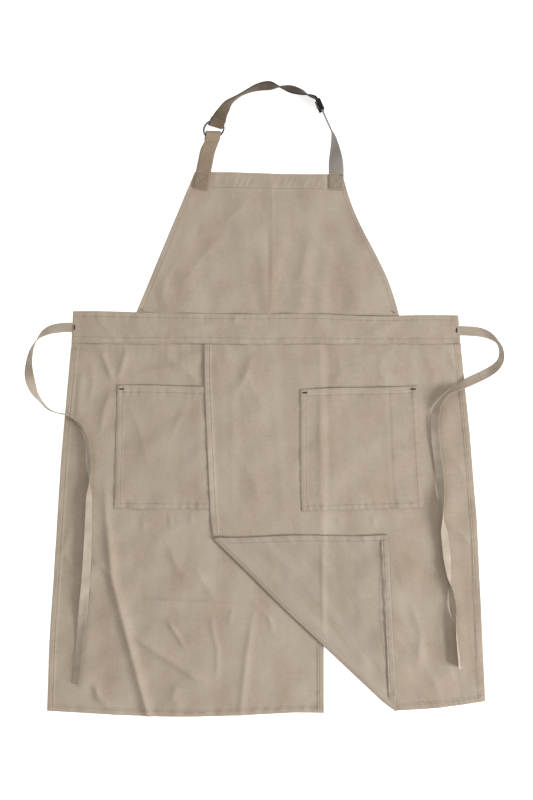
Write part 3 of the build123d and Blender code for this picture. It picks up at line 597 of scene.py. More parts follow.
# ---------- right leg
# The leg on top laps over the left one. The lower part of its front edge is folded back, so
# this piece ends along that diagonal and rolls into the folded corner there.
FOLD_A = (-89.8, -355.3)
FOLD_C = (219.5, -650)
RIGHT_INNER = ((-106, -26.5, 0), (-105, -105, 0.125), (-97.5, -274, 0.395),
               (-95, -330, 0.485), (*FOLD_A, 0.525), (29.6, -472.5, 0.715),
               (97.6, -536, 0.817), (*FOLD_C, 1))
RIGHT_OUTER = ((330, -26.5, 0), (345.5, -180, 0.25), (357.5, -326, 0.49),
               (372, -634, 1))
RIGHT_WIDTHS = (436, 152)
ROLL_TUCK = 3
RIGHT_CREASES = [
    ([(-20, -35), (-35, -80), (-60, -120)], 1.6, 9),
    ([(-48, -60), (-20, -110), (10, -150)], 1.2, 12),
    ([(20, -40), (60, -62), (110, -66)], 1, 7),
    ([(120, -40), (128, -75), (110, -100)], 1.1, 9),
    ([(200, -35), (190, -70), (205, -95)], 1.3, 9),
    ([(270, -40), (285, -75), (280, -110)], 1.2, 8),
    ([(310, -32), (318, -60), (326, -80)], 1.4, 6),
    ([(300, -200), (330, -240), (350, -300)], 1.2, 10),
    ([(300, -330), (325, -345), (352, -372)], 1.6, 6),
    ([(215, -370), (260, -400), (330, -428)], 1.3, 8),
    ([(240, -450), (262, -520), (256, -590)], 1.4, 10),
    ([(290, -480), (300, -560), (330, -620)], 1.2, 9),
    ([(-60, -200), (-20, -260), (0, -330)], 1.1, 14),
    ([(120, -318), (126, -340)], 0.9, 5),
    ([(180, -318), (184, -342)], 0.9, 5),
]


def over_left(x, y):
    """1 where the right leg lies on the left one and 0 beyond the left leg's front edge."""
    return 1 - smooth(x, 96.5, 106)


def right_drape(x, y):
    """How the right leg lies: over the left leg and its pocket, then down on the floor."""
    z = swells(x, y, 2, 71, (200, 2.6), (80, 1.7), (32, 0.45))
    z = creased(z, x, y, RIGHT_CREASES, 1.4)
    z = z + over_left(x, y) * 1.7 + 1.1 * bell(x, 92, 5) * smooth(y, -650, -100)
    buried = bell(x, -56, 8) * smooth(y, -320, -300) * (1 - smooth(y, -104, -90))
    step = 0.4 * smooth(-x, 52, 62) * smooth(y, -312, -304) * (1 - smooth(y, -104, -96))
    z = z + 1.2 * buried + step
    beneath = left_drape(x, y) + 1.1 + 1 * (1 - smooth(x, -58, -50)) * smooth(y, -314, -308)
    beneath = beneath * over_left(x, y)
    z = (z + beneath + np.sqrt((z - beneath) ** 2 + 0.6)) / 2
    seam = smooth(y, -46, -27)
    return z * (1 - seam) + 2.4 * seam


def right_surface(s, t):
    """The right leg's top face, ending along the diagonal fold."""
    x, y = between(RIGHT_INNER, RIGHT_OUTER, s, t)
    width = RIGHT_WIDTHS[0] + (RIGHT_WIDTHS[1] - RIGHT_WIDTHS[0]) * smooth(t, 0.5, 1)
    from_outer = (1 - s) * width
    from_foot = (1 - t) * LEG_LENGTH
    from_inner = x - np.interp(y, [-355, -274, -105, -27], [-92, -97.5, -105, -106])
    y = y - 3 * np.sin(math.pi * s) * smooth(t, 0.9, 1)
    z = right_drape(x, y) + leg_gathers(x, y, 81)
    upright = smooth(y, -362, -350)
    z = z + hem(from_inner, LEG_HEM, t * LEG_LENGTH, 83) * upright
    z = z + hem(from_outer, LEG_HEM, t * LEG_LENGTH, 85)
    z = z + hem(from_foot, LEG_HEM, s * width, 87) * smooth(from_outer + 6, 0, 12)
    fold = (1 - upright) * (1 - smooth(s * width, 0, 45))
    z = np.maximum(z, LEG_LOWEST) * (1 - fold) + ROLL_TUCK * fold
    return np.stack([x, y, z], -1)


top, across, down = lay_grid(right_surface, 436, LEG_LENGTH, 3.3, (0, HEM_ROW, 436 - HEM_ROW, 436),
                             (330, LEG_LENGTH - HEM_ROW, LEG_LENGTH))
right_leg = shell("right_leg", top, CLOTH, across + 911, down, canvas)
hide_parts("right_leg_panel", "right_outer_hem", "right_inner_hem", "right_bottom_hem")
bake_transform(right_leg)

# ---------- right pocket
# The same patch pocket on the leg on top, with one more upright row for a pen slot.
RIGHT_POCKET_LEFT = ((57.3, -104.7, 0), (57, -205, 0.48), (57.4, -283, 0.86),
                     (60.5, -312, 1))
RIGHT_POCKET_RIGHT = ((256.5, -97.4, 0), (262, -205, 0.51), (268.5, -306.3, 1))
PEN_SLOT = 150


def right_pocket_surface(s, t):
    """The right pocket's top face, over the right leg's drape."""
    x, y = between(RIGHT_POCKET_LEFT, RIGHT_POCKET_RIGHT, s, t)
    y = y + 1 * np.sin(s * 6.1) * (1 - smooth(t, 0, 0.2))
    z = right_drape(x, y) + pocket_relief(x, y, s, t, 91)
    z = z + row(s * POCKET_WIDTH, PEN_SLOT, t * POCKET_LENGTH, 97, 0.25)
    z = z - 0.7 * bell(s * POCKET_WIDTH, PEN_SLOT, 1.8)
    z = z + crease(x, y, [(95, -120), (90, -180), (100, -260)], 0.9, 8)
    return np.stack([x, y, z], -1)


pocket_piece("right_pocket", right_pocket_surface, "right")

# ---------- folded corner
# The leg's lower front corner, turned back so that its inside shows, with the front hem along
# its top and the bottom hem down its right side. It lies loosely and rolls at the fold.
FLAP_B = (206, -351)
FLAP_LEFT = ((-86, -355, 0), (31.6, -472.5, 0.385), (99.6, -536, 0.605), (*FOLD_C, 1))
FLAP_RIGHT = ((*FLAP_B, 0), (213.5, -500, 0.5), (220.5, -650, 1))
FLAP_WIDTH = 292
FLAP_LENGTH = 300
FLAP_HEM = 10.8
FLAP_ROW = 9.4
FLAP_CREASES = [
    ([(94, -365), (94.5, -440), (95, -520)], 1.5, 2.6, 0.05),
    ([(60, -372), (86, -392), (120, -420)], 1, 7),
    ([(20, -400), (8, -420), (0, -440)], 1.2, 9),
]
ROLL_TOP = 8


def flap_surface(s, t):
    """The folded corner's top face; s runs from the fold to the bottom hem."""
    x, y = between(FLAP_LEFT, FLAP_RIGHT, s, t)
    width = np.maximum(FLAP_WIDTH * (1 - t), 0.5)
    from_top = t * FLAP_LENGTH
    from_right = (1 - s) * width
    from_fold = s * width
    y = y + 1.3 * np.sin(x / 33) * (1 - smooth(t, 0, 0.08))
    z = right_drape(x, y) + 1.6 + waves(x, y, 101, 110, 1.6) + waves(x, y, 107, 45, 0.8)
    z = z - 1.3 * bell(x, 92, 5) * smooth(y, -650, -100)
    z = creased(z, x, y, FLAP_CREASES) + hem(from_top, FLAP_HEM, s * FLAP_WIDTH, 103, 1.2)
    below = smooth(from_top, 6, 12)
    wide = smooth(width, 10, 40)
    z = z + 1.35 * hem(from_right, FLAP_HEM, from_top, 105, 1.3) * below
    z = z - 0.9 * bell(from_right, FLAP_HEM + 2.4, 1.1) * below * wide
    z = z + 0.9 * bell(from_right, FLAP_HEM + 0.3, 0.9) * below * wide
    fold = 1 - smooth(from_fold, 0, np.minimum(50, width * 0.6 + 0.1))
    z = z * (1 - fold) + ROLL_TOP * fold
    tip = smooth(t, 0.9, 1)
    return np.stack([x, y, z * (1 - tip) + ROLL_TOP * tip], -1)


inside = twill("canvas_inside", (0.29, 0.228, 0.168), (0.455, 0.395, 0.328), math.pi / 2)
top, across, down = lay_grid(flap_surface, FLAP_WIDTH, FLAP_LENGTH, 2.8, (FLAP_WIDTH - 9, FLAP_WIDTH),
                             (0, FLAP_ROW))
corner_flap = shell("corner_flap", top, CLOTH, across + 353, down, inside)
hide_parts("corner_flap_panel", "corner_flap_bottom_hem", "corner_flap_front_hem")
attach(corner_flap, "corner_flap")

# ---------- fold of the corner
# The soft roll where the cloth turns over along the diagonal, never pressed flat. It joins the
# leg's diagonal edge to the folded corner's.
ROLL_STEPS = 14
ROLL_OUT = 3.4
ROLL_LENGTH = 427


def roll_surface(s, t):
    """Half a turn of cloth along the diagonal: an oval arc from the leg up to the flap."""
    share = t[:, 0]
    lower = right_surface(0 * share, 0.525 + 0.475 * share)
    upper = flap_surface(0 * share, share)
    way = np.array([FOLD_C[0] - FOLD_A[0], FOLD_C[1] - FOLD_A[1], 0])
    out = np.array([way[1], -way[0], 0]) / np.linalg.norm(way)
    turn = s[0] * math.pi
    rise = (1 - np.cos(turn)) / 2
    bulge = np.sin(turn) * ROLL_OUT
    fade = 1 - smooth(share, 0.93, 1) * 0.8
    middle = lower[:, None] + (upper - lower)[:, None] * rise[None, :, None]
    return middle + out * (bulge[None, :] * fade[:, None])[..., None]


s, t = np.meshgrid(np.linspace(0, 1, ROLL_STEPS), spread(ROLL_LENGTH, 3))
roll_top = roll_surface(s, t)[:, ::-1]
roll = shell("corner_roll", roll_top, CLOTH, s * 9 + 353, t * ROLL_LENGTH, canvas)
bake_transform(roll)

# ---------- sewing thread
# Rows of lockstitch in a thread a little darker than the cloth, each stitch a short bead
# of thread that dips into the cloth at both ends.
STITCH_STEP = 3.1
STITCH_LENGTH = 2.3
STITCH_RADIUS = 0.3
OBJECT_PLACE = 3


def thread(name, dark, light):
    """Spun thread: a fine twisted grain along each stitch and a little gloss."""
    material, start = new_material(name)
    place = start.make("ShaderNodeTexCoord", {}, {}, OBJECT_PLACE)
    twist = place.noise(900, 3)
    colour = (twist * 0.6 + place.noise(30, 2) * 0.6 - 0.1).tint(dark, light)
    coat(start, {"Base Color": colour, "Normal": twist.bump(0.5, 0.0002), "Roughness": 0.6,
                 "Sheen Weight": 0.1})
    return material


threads = {
    "tan_thread": thread("tan_thread", (0.22, 0.168, 0.12), (0.33, 0.262, 0.195)),
    "navy_thread": thread("navy_thread", (0.006, 0.008, 0.02), (0.02, 0.025, 0.055)),
}


def beads(name, middles, ways, length, radius, lift, colour):
    """Stitches as small beads: four-sided, thick in the middle, dipping at both ends."""
    ways = unit(ways)
    side = unit(np.cross([0.0, 0.0, 1.0], ways))
    above = np.cross(ways, side)
    rings = []
    stations = (-0.5, 0.45, -0.9), (-0.25, 0.95, 0.2), (0.25, 0.95, 0.2), (0.5, 0.45, -0.9)
    for reach, size, rise in stations:
        centre = middles + ways * (reach * length) + above * (lift + rise * radius)
        for a, b in ((1, 0), (0, 1), (-1, 0), (0, -1)):
            rings.append(centre + (side * a + above * b) * (radius * size))
    index = np.arange(16).reshape(4, 4)
    after = np.roll(index, -1, axis=1)
    faces = np.stack([index[:-1], after[:-1], after[1:], index[1:]], -1).reshape(-1, 4)
    faces = np.concatenate([faces, [index[0, ::-1], index[3]]])
    every = (faces[None] + 16 * np.arange(len(middles))[:, None, None]).reshape(-1, 4)
    piece = new_piece(name, np.stack(rings, 1), every[:, ::-1].tolist())
    piece.data.materials.append(threads[colour])
    return piece


def distances(points):
    """How far along a line each of its points lies."""
    return np.concatenate([[0], np.cumsum(np.linalg.norm(np.diff(points, axis=0), axis=1))])


def points_at(line, marks, places):
    """The points of a line at given distances along it."""
    return np.stack([np.interp(places, marks, line[:, k]) for k in range(3)], 1)


def seam_beads(lines):
    """Middles and directions of stitches, an even step apart along each line of points."""
    middles, ways = [], []
    for line in lines:
        marks = distances(line)
        places = np.arange(STITCH_STEP / 2, marks[-1], STITCH_STEP)
        middles.append(points_at(line, marks, places))
        ways.append(points_at(line, marks, places + 1) - points_at(line, marks, places - 1))
    return np.concatenate(middles), np.concatenate(ways)


def line_on(surface, start, end, count=260):
    """A line of points on a surface between two places in its own shares."""
    share = np.linspace(0, 1, count)
    s, t = (a + (b - a) * share for a, b in zip(start, end))
    return surface(s, t)


def sew(name, lines, body, moves_to=None, colour="tan_thread"):
    """Rows of stitches as one piece that rides on a body, or, given moves_to, stays where it is made.
    """
    middles, ways = seam_beads(lines)
    piece = beads(name, middles, ways, STITCH_LENGTH, STITCH_RADIUS, 0.12, colour)
    if moves_to:
        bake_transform(piece)
    else:
        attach(piece, body)
    return piece


band_lines = [line_on(band, (0.004, y / BAND_HEIGHT), (0.996, y / BAND_HEIGHT), 900) for y in band_rows]
sew("waistband_stitches", band_lines, "waistband")
bib_hem_t = (BIB_TOP_HEM - HEM_STITCH) / BIB_LENGTH
bib_lines = [
    line_on(bib_surface, (0.01, bib_hem_t), (0.99, bib_hem_t), 500),
    line_on(bib_surface, (0.030, 0.01), (0.0195, 0.985), 500),
    line_on(bib_surface, (0.970, 0.01), (0.9805, 0.985), 500),
]
sew("bib_stitches", bib_lines, "waistband", "bib")
leg_foot_t = 1 - HEM_ROW / LEG_LENGTH
top_s, foot_s = [HEM_ROW / width for width in LEFT_WIDTHS]
left_lines = [
    line_on(left_surface, (top_s, 0.01), (foot_s, leg_foot_t), 900),
    line_on(left_surface, (1 - top_s, 0.01), (1 - foot_s, leg_foot_t), 900),
    line_on(left_surface, (foot_s, leg_foot_t), (1 - foot_s, leg_foot_t), 700),
]
sew("left_leg_stitches", left_lines, "waistband", "left_leg")
mark_t = 1 - 6.2 / LEG_LENGTH
mark_lines = [line_on(left_surface, (s, mark_t), (s + 0.033, mark_t)) for s in (0.495, 0.54)]
sew("left_hem_mark", mark_lines, "left_leg", colour="navy_thread")


def pocket_lines(surface, slots=()):
    """A pocket's rows: two round its sides and foot, one along its mouth, and any slots."""
    lines = []
    for place in POCKET_ROWS:
        s = place / POCKET_WIDTH
        t = 1 - place / POCKET_LENGTH
        lines.append(line_on(surface, (s, 0.01), (s, t)))
        lines.append(line_on(surface, (s, t), (1 - s, t)))
        lines.append(line_on(surface, (1 - s, t), (1 - s, 0.01)))
    mouth = MOUTH_ROW / POCKET_LENGTH
    lines.append(line_on(surface, (0.05, mouth), (0.95, mouth)))
    for place in slots:
        s = place / POCKET_WIDTH
        lines.append(line_on(surface, (s, 0.01), (s, 0.955)))
    return lines


sew("left_pocket_stitches", pocket_lines(left_pocket_surface), "left_leg")
pen = sew("right_pocket_stitches", pocket_lines(right_pocket_surface, (PEN_SLOT,)), "right_leg")
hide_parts("right_pocket_pen_slot")
top_s, foot_s = [HEM_ROW / width for width in RIGHT_WIDTHS]
right_lines = [
    line_on(right_surface, (top_s, 0.01), (top_s, 0.505), 700),
    line_on(right_surface, (1 - top_s, 0.01), (1 - top_s, 0.5), 700),
    line_on(right_surface, (1 - top_s, 0.5), (1 - foot_s, leg_foot_t), 600),
    line_on(right_surface, (0.03, leg_foot_t), (1 - foot_s, leg_foot_t), 300),
]
sew("right_leg_stitches", right_lines, "left_leg", "right_leg")
flap_t = FLAP_ROW / FLAP_LENGTH
flap_lines = [
    line_on(flap_surface, (0.03, flap_t), (1 - 10 / FLAP_WIDTH, flap_t), 400),
    line_on(flap_surface, (1 - 9.6 / 284, flap_t), (1 - 9.6 / 45, 0.845), 400),
]
sew("corner_flap_stitches", flap_lines, "corner_flap")

# ---------- bar tacks
# Dense zigzag tacks in dark blue thread at the pocket corners and the waistband's ends.
TACK_STEP = 0.75


def tack(name, surface, places, way, length, width, body, node, colour="navy_thread"):
    """Bar tacks: a close row of short stitches across a bar, at each place on a surface."""
    reach = np.arange(-length / 2, length / 2 + 0.01, TACK_STEP)
    middles, ways = [], []
    for s, t in places:
        centre = surface(np.array([s]), np.array([t]))[0]
        middles.append(centre + np.outer(reach, [way[0], way[1], 0]))
        ways.append(np.tile([-way[1], way[0], 0.0], (len(reach), 1)))
    piece = beads(name, np.concatenate(middles), np.concatenate(ways), width, 0.5, 0.35, colour)
    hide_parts(node)
    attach(piece, body)


tack("waistband_tacks", band, [(0.006, 0.5), (0.9925, 0.49)], (0, 1), 8, 2.8,
     "waistband", "waistband_end_tacks")
tack("left_tacks", left_pocket_surface, [(0.033, 0.032), (0.967, 0.032)], (1, 0), 7.5, 2.8,
     "left_leg", "left_pocket_tacks")
tack("right_tacks", right_pocket_surface, [(0.038, 0.028), (0.962, 0.028)], (1, 0), 7.5, 2.8,
     "right_leg", "right_pocket_tacks")
tack("bib_tacks", bib_surface, [(0.018, 0.972), (0.982, 0.972)], (0.9, -0.43), 7, 2.2,
     "bib", "bib_seam_tacks", "tan_thread")

# ---------- waist ties
# Flat woven cotton tape, sewn into the waistband's ends. It is limp and springy edgeways, so
# most of it stands on its edge, turning over now and then, until its cut ends.
TIE_WIDTH = 16
TIE_THICK = 1.1
ROUTE_STEP = 2
LEFT_TIE = [
    (-330, 1, 2.3), (-354, 1, 2.8), (-379, -8, 8), (-398, -32, 9), (-405, -72, 6), (-396, -108, 7),
    (-382, -125, 9), (-368, -142, 9), (-332, -148, 10.8), (-306, -174, 11.6), (-299, -225, 11),
    (-301, -290, 10.4), (-303, -370, 9.4), (-308, -445, 8.2), (-315, -520, 8), (-323.5, -603.5, 8.6),
]
LEFT_TIE_ROLLS = [
    (0, 0), (25, 5), (50, 45), (66, 84), (84, 62), (110, 38), (128, 8), (145, -28), (163, -62),
    (178, -82), (200, -88), (225, -95), (250, -108), (290, -116), (340, -120), (360, -92),
    (382, -56), (475, -34), (548, -26), (590, 8), (640, 26), (702, 34),
]
RIGHT_TIE = [
    (326, -5, 2.4), (352, -5, 3.4), (378, -11, 9), (397, -28, 10), (400, -54, 9), (384, -73, 7),
    (361, -83.5, 5.4),
]
RIGHT_TIE_LOW = [
    (361, -83.5, 5.4), (338, -94, 6.4), (303, -113, 11.6), (283, -146, 10), (288, -205, 7.6),
    (296, -265, 8.4), (299, -325, 11.2), (306, -390, 9.6), (315, -460, 10.6), (322, -520, 11.4),
    (328.4, -578, 10.6),
]
RIGHT_TIE_ROLLS = [(0, 0), (30, 8), (52, 45), (70, 80), (92, 66), (114, 40), (130, 18), (147, 8)]
RIGHT_LOW_ROLLS = [
    (0, 8), (20, 12), (40, 46), (60, 74), (84, 66), (106, 26), (150, 18), (200, 26), (240, 52),
    (268, 86), (283, 104), (302, 142), (345, 150), (378, 124), (402, 66), (430, 46), (455, 76),
    (480, 98), (533, 112),
]


def route(points):
    """The smooth line of a limp cord: a spline whose control points are the given ones."""
    curve = bpy.data.curves.new("route", "CURVE")
    curve.dimensions = "3D"
    spline = curve.splines.new("NURBS")
    spline.points.add(len(points) - 1)
    for control, point in zip(spline.points, points):
        control.co = (point[0] * MM, point[1] * MM, point[2] * MM, 1)
    spline.order_u = 3
    spline.use_endpoint_u = True
    spline.resolution_u = 24
    holder = bpy.data.objects.new("route", curve)
    mesh = bpy.data.meshes.new_from_object(holder)
    places = np.empty(len(mesh.vertices) * 3)
    mesh.vertices.foreach_get("co", places)
    bpy.data.objects.remove(holder)
    bpy.data.meshes.remove(mesh)
    return places.reshape(-1, 3) / MM


def tape(name, middles, across, normal, places, width, low, high, bow=0):
    """A woven strip: a thin rounded section carried along its middles, closed at both ends.

    bow hollows its top face across the width, as tape that is turned over keeps.
    """
    shares = np.array([-1, -0.97, -0.8, -0.4, 0, 0.4, 0.8, 0.97, 1])
    ease = np.array([0.5, 0.12, 0, 0, 0, 0, 0, 0.12, 0.5])
    curl = bow * (shares**2 - 0.5)
    top_n = high - (high - low) * ease + curl
    low_n = low + (high - low) * ease * 0.98 + curl
    reach = np.concatenate([shares, shares[::-1]]) * width / 2
    rise = np.concatenate([top_n, low_n[::-1]])
    points = middles[:, None] + across[:, None] * reach[None, :, None]
    points = points + normal[:, None] * rise[None, :, None]
    rows, columns = points.shape[:2]
    index = np.arange(rows * columns).reshape(rows, columns)
    after = np.roll(index, -1, axis=1)
    quads = np.stack([index[:-1], index[1:], after[1:], after[:-1]], -1).reshape(-1, 4)
    faces = quads.tolist() + [index[0].tolist(), index[-1][::-1].tolist()]
    return new_piece(name, points, faces, np.stack(np.broadcast_arrays(reach, places[:, None]), -1))


def rolled(line, rolls):
    """The directions across a tape and out of it, from how far it is rolled at each distance."""
    marks = distances(line)
    places = np.linspace(0, marks[-1], int(marks[-1] / ROUTE_STEP) + 1)
    middles = points_at(line, marks, places)
    ahead = unit(np.gradient(middles, axis=0))
    left = unit(np.cross([0.0, 0.0, 1.0], ahead))
    above = np.cross(ahead, left)
    keys = np.array(rolls, float)
    angle = np.interp(places, keys[:, 0], keys[:, 1])
    kernel = np.hanning(11)
    padded = np.pad(angle, 5, mode="edge")
    angle = np.radians(np.convolve(padded, kernel / kernel.sum(), mode="valid"))[:, None]
    across = left * np.cos(angle) + above * np.sin(angle)
    return middles, across, np.cross(ahead, across), places


def woven(name, dark, light, rib, mapped=True, painted_shade_depth=0):
    """Narrow woven webbing: cross ribs, lengthwise cords, mottling from wear and a slight nap.

    Its last argument paints shade on it: the colour darkens towards the far end of its run, though the
    webbing is one colour throughout.
    """
    material, start = new_material(name)
    if mapped:
        flat = start.make("ShaderNodeUVMap", {"uv_map": "cloth"})
    else:
        flat = start.make("ShaderNodeTexCoord", {}, {}, OBJECT_PLACE)
    cross_ribs = flat.bands("Y", rib, 1, 1)
    cords = flat.bands("X", rib * 1.6, 0.6)
    fine = flat.noise(600, 4)
    tone = flat.noise(45, 4) * 0.7 + fine * 0.5 + cross_ribs * 0.25 + cords * 0.15 - 0.4
    # Painted shade: a ramp along the run darkens the strap towards its far end, where it lies in
    # shadow.
    if painted_shade_depth:
        along = start.make("ShaderNodeSeparateXYZ", {}, {"Vector": flat}, 1)
        reach = {"Value": along, "From Min": 0.06, "From Max": 0.15}
        painted_shade_ramp = start.make("ShaderNodeMapRange", {}, reach)
        tone = tone - painted_shade_ramp * painted_shade_depth
    height = cross_ribs * 0.8 + cords * 0.6 + fine * 0.6
    coat(start, {"Base Color": tone.tint(dark, light), "Roughness": fine * 0.15 + 0.75,
                 "Normal": height.bump(0.5, 0.0004), "Sheen Weight": 0.1, "Specular IOR Level": 0.25})
    return material


cotton_tape = woven("cotton_tape", (0.29, 0.225, 0.16), (0.62, 0.555, 0.475), 0.0011)


def tie(name, points, rolls, nodes):
    """One length of a waist tie, shaped as a limp cord."""
    middles, across, normal, places = rolled(route(points), rolls)
    piece = tape(name, middles, across, normal, places, TIE_WIDTH, -TIE_THICK / 2, TIE_THICK / 2, 0.8)
    piece.data.materials.append(cotton_tape)
    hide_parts(*nodes)
    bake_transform(piece)
    places[-1] * MM
    (middles * MM).tolist()


tie("left_tie", LEFT_TIE, LEFT_TIE_ROLLS, ("left_tie_root", "left_tie_tail"))
tie("right_tie_root_tape", RIGHT_TIE, RIGHT_TIE_ROLLS, ("right_tie_root",))
tie("right_tie_tail_tape", RIGHT_TIE_LOW, RIGHT_LOW_ROLLS, ("right_tie_tail",))

# ---------- neck tab and strap
# Cotton webbing an inch wide. The tab is doubled and sewn on with a crossed square; the strap
# leaves the other foot, goes through the slider and the ring, and comes back doubled.
STRAP_WIDTH = 25.4
WEBBING = 1.2
LAYER_GAP = 0.15
FOOT_LENGTH = 28
TAB_X = -107.5
TAB_LEAN = math.radians(11.6)
STRAP_FOOT_X = 118.5
TOP_Y = 263.5
RING_CENTRE = np.array([-89, 335, 20])
TAB_LOOP_TURN = math.radians(-118)
STRAP_LOOP_TURN = math.radians(45)
SLIDER_CENTRE = np.array([90, 376, 15])
SLIDER_HEADING = -66
BEND_RADIUS = 9
BEND_HEADING = -19
ARCH = [
    ((-74, 361.5, 28), 61, 48, -18), ((-67, 373, 22.5), 57, 62, -22), ((-57.5, 384, 17.5), 46, 84, -14),
    ((-44.5, 393.5, 15), 33, 91, -4), ((-29, 401.5, 14.2), 24, 85), ((-12, 407.5, 14), 12, 72),
    ((6, 409.5, 14), 0, 68), ((24, 407.5, 14), -9, 104), ((42, 403.5, 14.2), -15, 126),
    ((60, 398, 14.6), -18, 116), ((73, 392.7, 15), BEND_HEADING, 94),
]
TWIST = [
    ((112, 323.5, 14), -72, 78), ((114.5, 309, 12), -78, 60), ((116.3, 295, 9), -82, 40),
    ((117.6, 281, 6), -85, 18), ((118.3, 271, 4.6), -88, 6),
]
FOOT_Z = 3.3
WEBBING_RIB = 0.0014
WEBBING_DARK = (0.215, 0.16, 0.105)
WEBBING_LIGHT = (0.375, 0.30, 0.22)


def level(degrees):
    """The level direction at a heading in degrees."""
    turn = math.radians(degrees)
    return np.array([math.cos(turn), math.sin(turn), 0])


def station(point, heading, roll, rise=0):
    """A middle, a direction across and a normal; roll 90 stands on edge, left edge up."""
    turn, tip, climb = np.radians([heading, roll, rise])
    ahead = level(heading) * math.cos(climb) + np.array([0, 0, math.sin(climb)])
    left = np.array([-math.sin(turn), math.cos(turn), 0])
    above = np.cross(ahead, left)
    across = left * math.cos(tip) + above * math.sin(tip)
    return np.array([point, across, np.cross(ahead, across)])


ring_turn, ring_tilt = np.radians([24, 42])
RING_EAST = np.array([math.cos(ring_turn), math.sin(ring_turn), 0])
RING_NORTH = np.array([-math.sin(ring_turn) * math.cos(ring_tilt),
                       math.cos(ring_turn) * math.cos(ring_tilt), math.sin(ring_tilt)])
RING_AXIS = np.cross(RING_EAST, RING_NORTH)


def ring_station(turn, reach, sense):
    """The station where webbing meets its loop round the ring."""
    radial = RING_EAST * math.cos(turn) + RING_NORTH * math.sin(turn)
    return np.array([RING_CENTRE + radial * reach, np.cross(RING_AXIS, radial) * sense, RING_AXIS])


def slider_point(reach):
    """A point on the straight run that the slider travels along."""
    return SLIDER_CENTRE + level(SLIDER_HEADING) * reach


def bend():
    """The strap's turn into the slider, an arc."""
    centre = slider_point(-10.3) + level(SLIDER_HEADING - 90) * BEND_RADIUS
    places = []
    for share in (0, 0.25, 0.5, 0.75, 1):
        heading = BEND_HEADING + (SLIDER_HEADING - BEND_HEADING) * share
        places.append(station(centre + level(heading + 90) * BEND_RADIUS, heading, 90))
    return places


def webbing(name, stations, low, high, material):
    """Webbing through its stations, each value carried between them by a smooth cubic."""
    keys = np.array(stations)
    marks = distances(keys[:, 0])
    slopes = np.gradient(keys, marks, axis=0)
    places = np.linspace(0, marks[-1], int(marks[-1] / 1.5) + 1)
    k = np.clip(np.searchsorted(marks, places, side="right") - 1, 0, len(marks) - 2)
    span = (marks[k + 1] - marks[k])[:, None, None]
    u = (places - marks[k])[:, None, None] / span
    value = (2 * u**3 - 3 * u**2 + 1) * keys[k] + (u**3 - 2 * u**2 + u) * span * slopes[k]
    value = value + (3 * u**2 - 2 * u**3) * keys[k + 1] + (u**3 - u**2) * span * slopes[k + 1]
    middles, across, normal = value[:, 0], unit(value[:, 1]), unit(value[:, 2])
    piece = tape(name, middles, across, normal, places, STRAP_WIDTH, low, high)
    piece.data.materials.append(material)
    return piece


strap_webbing = woven("strap_webbing", WEBBING_DARK, WEBBING_LIGHT, WEBBING_RIB)
# Painted shade: the strap's arch is the same webbing as the rest, given darker colours for the shade it
# lies in.
painted_shade_arch_webbing = woven("painted_shade_arch_webbing", (0.04, 0.026, 0.016), (0.225, 0.165, 0.11), WEBBING_RIB, painted_shade_depth=0.45)
# Painted light: the strap's run down to its foot is the same webbing, given paler grey colours where it
# faces the light.
painted_light_grey_webbing = woven("painted_light_grey_webbing", (0.235, 0.215, 0.19), (0.40, 0.375, 0.345), WEBBING_RIB)
# Painted light: the strap's flat foot is the same webbing, given lighter colours where light falls on
# it.
painted_light_foot_webbing = woven("painted_light_foot_webbing", (0.27, 0.21, 0.15), (0.43, 0.36, 0.285), WEBBING_RIB)
solid_webbing = woven("solid_webbing", WEBBING_DARK, WEBBING_LIGHT, WEBBING_RIB, False)
# Painted shade: a darker copy of the webbing for the strap's loops, for the shade they lie in.
painted_shade_solid_arch = woven("painted_shade_solid_arch", (0.085, 0.055, 0.032), (0.21, 0.155, 0.105), WEBBING_RIB, False)


def repaint(material, *nodes):
    """Gives pieces that keep their made shape a new material."""
    for node in nodes:
        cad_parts[node].data.materials.clear()
        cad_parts[node].data.materials.append(material)


repaint(solid_webbing, "neck_tab_ring_loop")
repaint(painted_shade_solid_arch, "neck_strap_ring_loop", "strap_end_loop")

tab_foot = (TAB_X - math.sin(TAB_LEAN) * FOOT_LENGTH, TOP_Y - math.cos(TAB_LEAN) * FOOT_LENGTH, FOOT_Z)
tab_heading = 90 - math.degrees(TAB_LEAN)
tab_stations = [
    station(tab_foot, tab_heading, 0), station((TAB_X - 0.5, TOP_Y - 2, FOOT_Z), tab_heading, 0),
    station((-103.5, 283, 3.2), 80, 3), station((-99.5, 301, 4.2), 78, 12),
    ring_station(TAB_LOOP_TURN, 24, -1),
]
neck_tab = webbing("neck_tab_strip", tab_stations, -1.1, 1.1, strap_webbing)
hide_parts("neck_tab", "neck_tab_foot")
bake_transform(neck_tab)

arch = [ring_station(STRAP_LOOP_TURN, 22, 1)] + [station(*place) for place in ARCH] + bend()
outer_run = webbing("strap_outer_layer", arch, -LAYER_GAP - WEBBING, -LAYER_GAP, painted_shade_arch_webbing)
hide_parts("neck_strap_outer_run")
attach(outer_run, "neck_loop")
return_run = webbing("strap_return_layer", arch, LAYER_GAP, LAYER_GAP + WEBBING, painted_shade_arch_webbing)
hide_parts("neck_strap_return_run")
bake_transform(return_run)

straight = [station(slider_point(reach), SLIDER_HEADING, 90) for reach in (10, 24, 38, 47.5)]
twist = [station(*place) for place in TWIST]
strap_end = station((STRAP_FOOT_X, TOP_Y - 2, FOOT_Z + 0.75), -90, 0)
right_run = [bend()[-1], *straight, *twist, strap_end]
strap_right = webbing("strap_right_layer", right_run, -LAYER_GAP - WEBBING, -LAYER_GAP, painted_light_grey_webbing)
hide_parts("neck_strap_right_run")
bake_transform(strap_right)

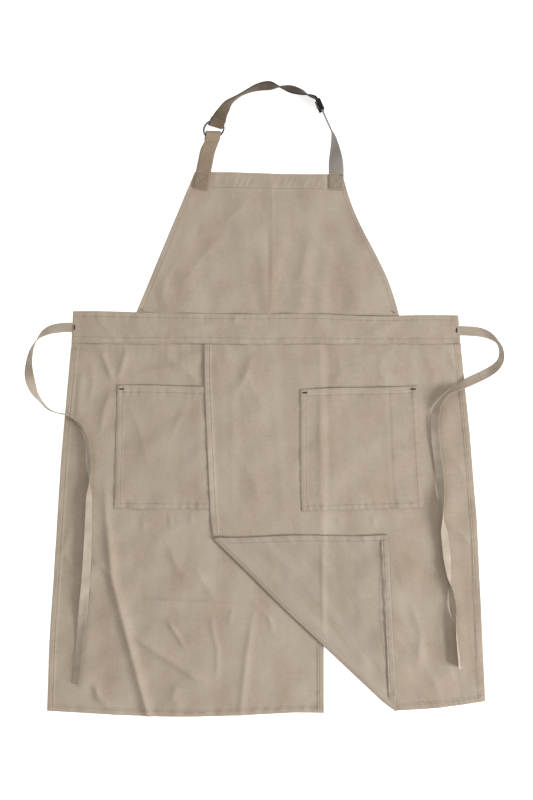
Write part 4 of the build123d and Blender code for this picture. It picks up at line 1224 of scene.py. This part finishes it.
strap_foot_stations = [station((STRAP_FOOT_X, y, FOOT_Z + 0.85), -90, 0)
                       for y in (TOP_Y + 0.5, TOP_Y - FOOT_LENGTH)]
strap_foot = webbing("strap_foot", strap_foot_stations, -LAYER_GAP - WEBBING, -LAYER_GAP, painted_light_foot_webbing)
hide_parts("neck_strap_foot")
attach(strap_foot, "bib")


def foot_point(x, lean, across_foot, up_foot, z):
    """A point on a webbing foot, from shares across and up it."""
    u = across_foot * STRAP_WIDTH / 2
    v = FOOT_LENGTH * (up_foot - 1)
    return (x + math.cos(lean) * u + math.sin(lean) * v,
            TOP_Y - math.sin(lean) * u + math.cos(lean) * v, z)


def crossed_square(name, x, lean, z, node):
    """The square of thread with a cross that holds a webbing foot."""
    corners = [(-0.78, 0.1), (0.78, 0.1), (0.78, 0.88), (-0.78, 0.88)]
    corners = np.array([foot_point(x, lean, a, b, z) for a, b in corners])
    lines = [corners[[a, b]] for a, b in ((0, 1), (1, 2), (2, 3), (3, 0), (0, 2), (1, 3))]
    piece = sew(name, lines, "bib")
    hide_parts(node)


crossed_square("tab_square", TAB_X, TAB_LEAN, FOOT_Z + 1.3, "neck_tab_box_stitch")
crossed_square("strap_square", STRAP_FOOT_X, 0, FOOT_Z + 0.9, "neck_strap_box_stitch")

# ---------- ring and slider
# A round ring of plated wire, blue-grey, and a small slider of blackened metal with two end
# bars and a round middle bar that holds the strap's sewn end.


def metal(name, dark, light, roughness):
    """Plated metal with faint scratches and uneven plating."""
    material, start = new_material(name)
    place = start.make("ShaderNodeTexCoord", {}, {}, OBJECT_PLACE)
    drift = place.noise(120, 4)
    scratch = place.scaled(1, 12).noise(700, 5)
    coat(start, {"Base Color": (drift * 0.8 + scratch * 0.4 - 0.1).tint(dark, light),
                 "Roughness": drift * 0.2 + scratch * 0.12 + (roughness - 0.15),
                 "Normal": scratch.bump(0.15, 0.0001), "Metallic": 1})
    return material


repaint(metal("ring_metal", (0.06, 0.07, 0.10), (0.20, 0.225, 0.30), 0.38), "o_ring")
repaint(metal("slider_metal", (0.012, 0.010, 0.010), (0.05, 0.045, 0.05), 0.45),
        "slider_frame", "slider_centre_bar")
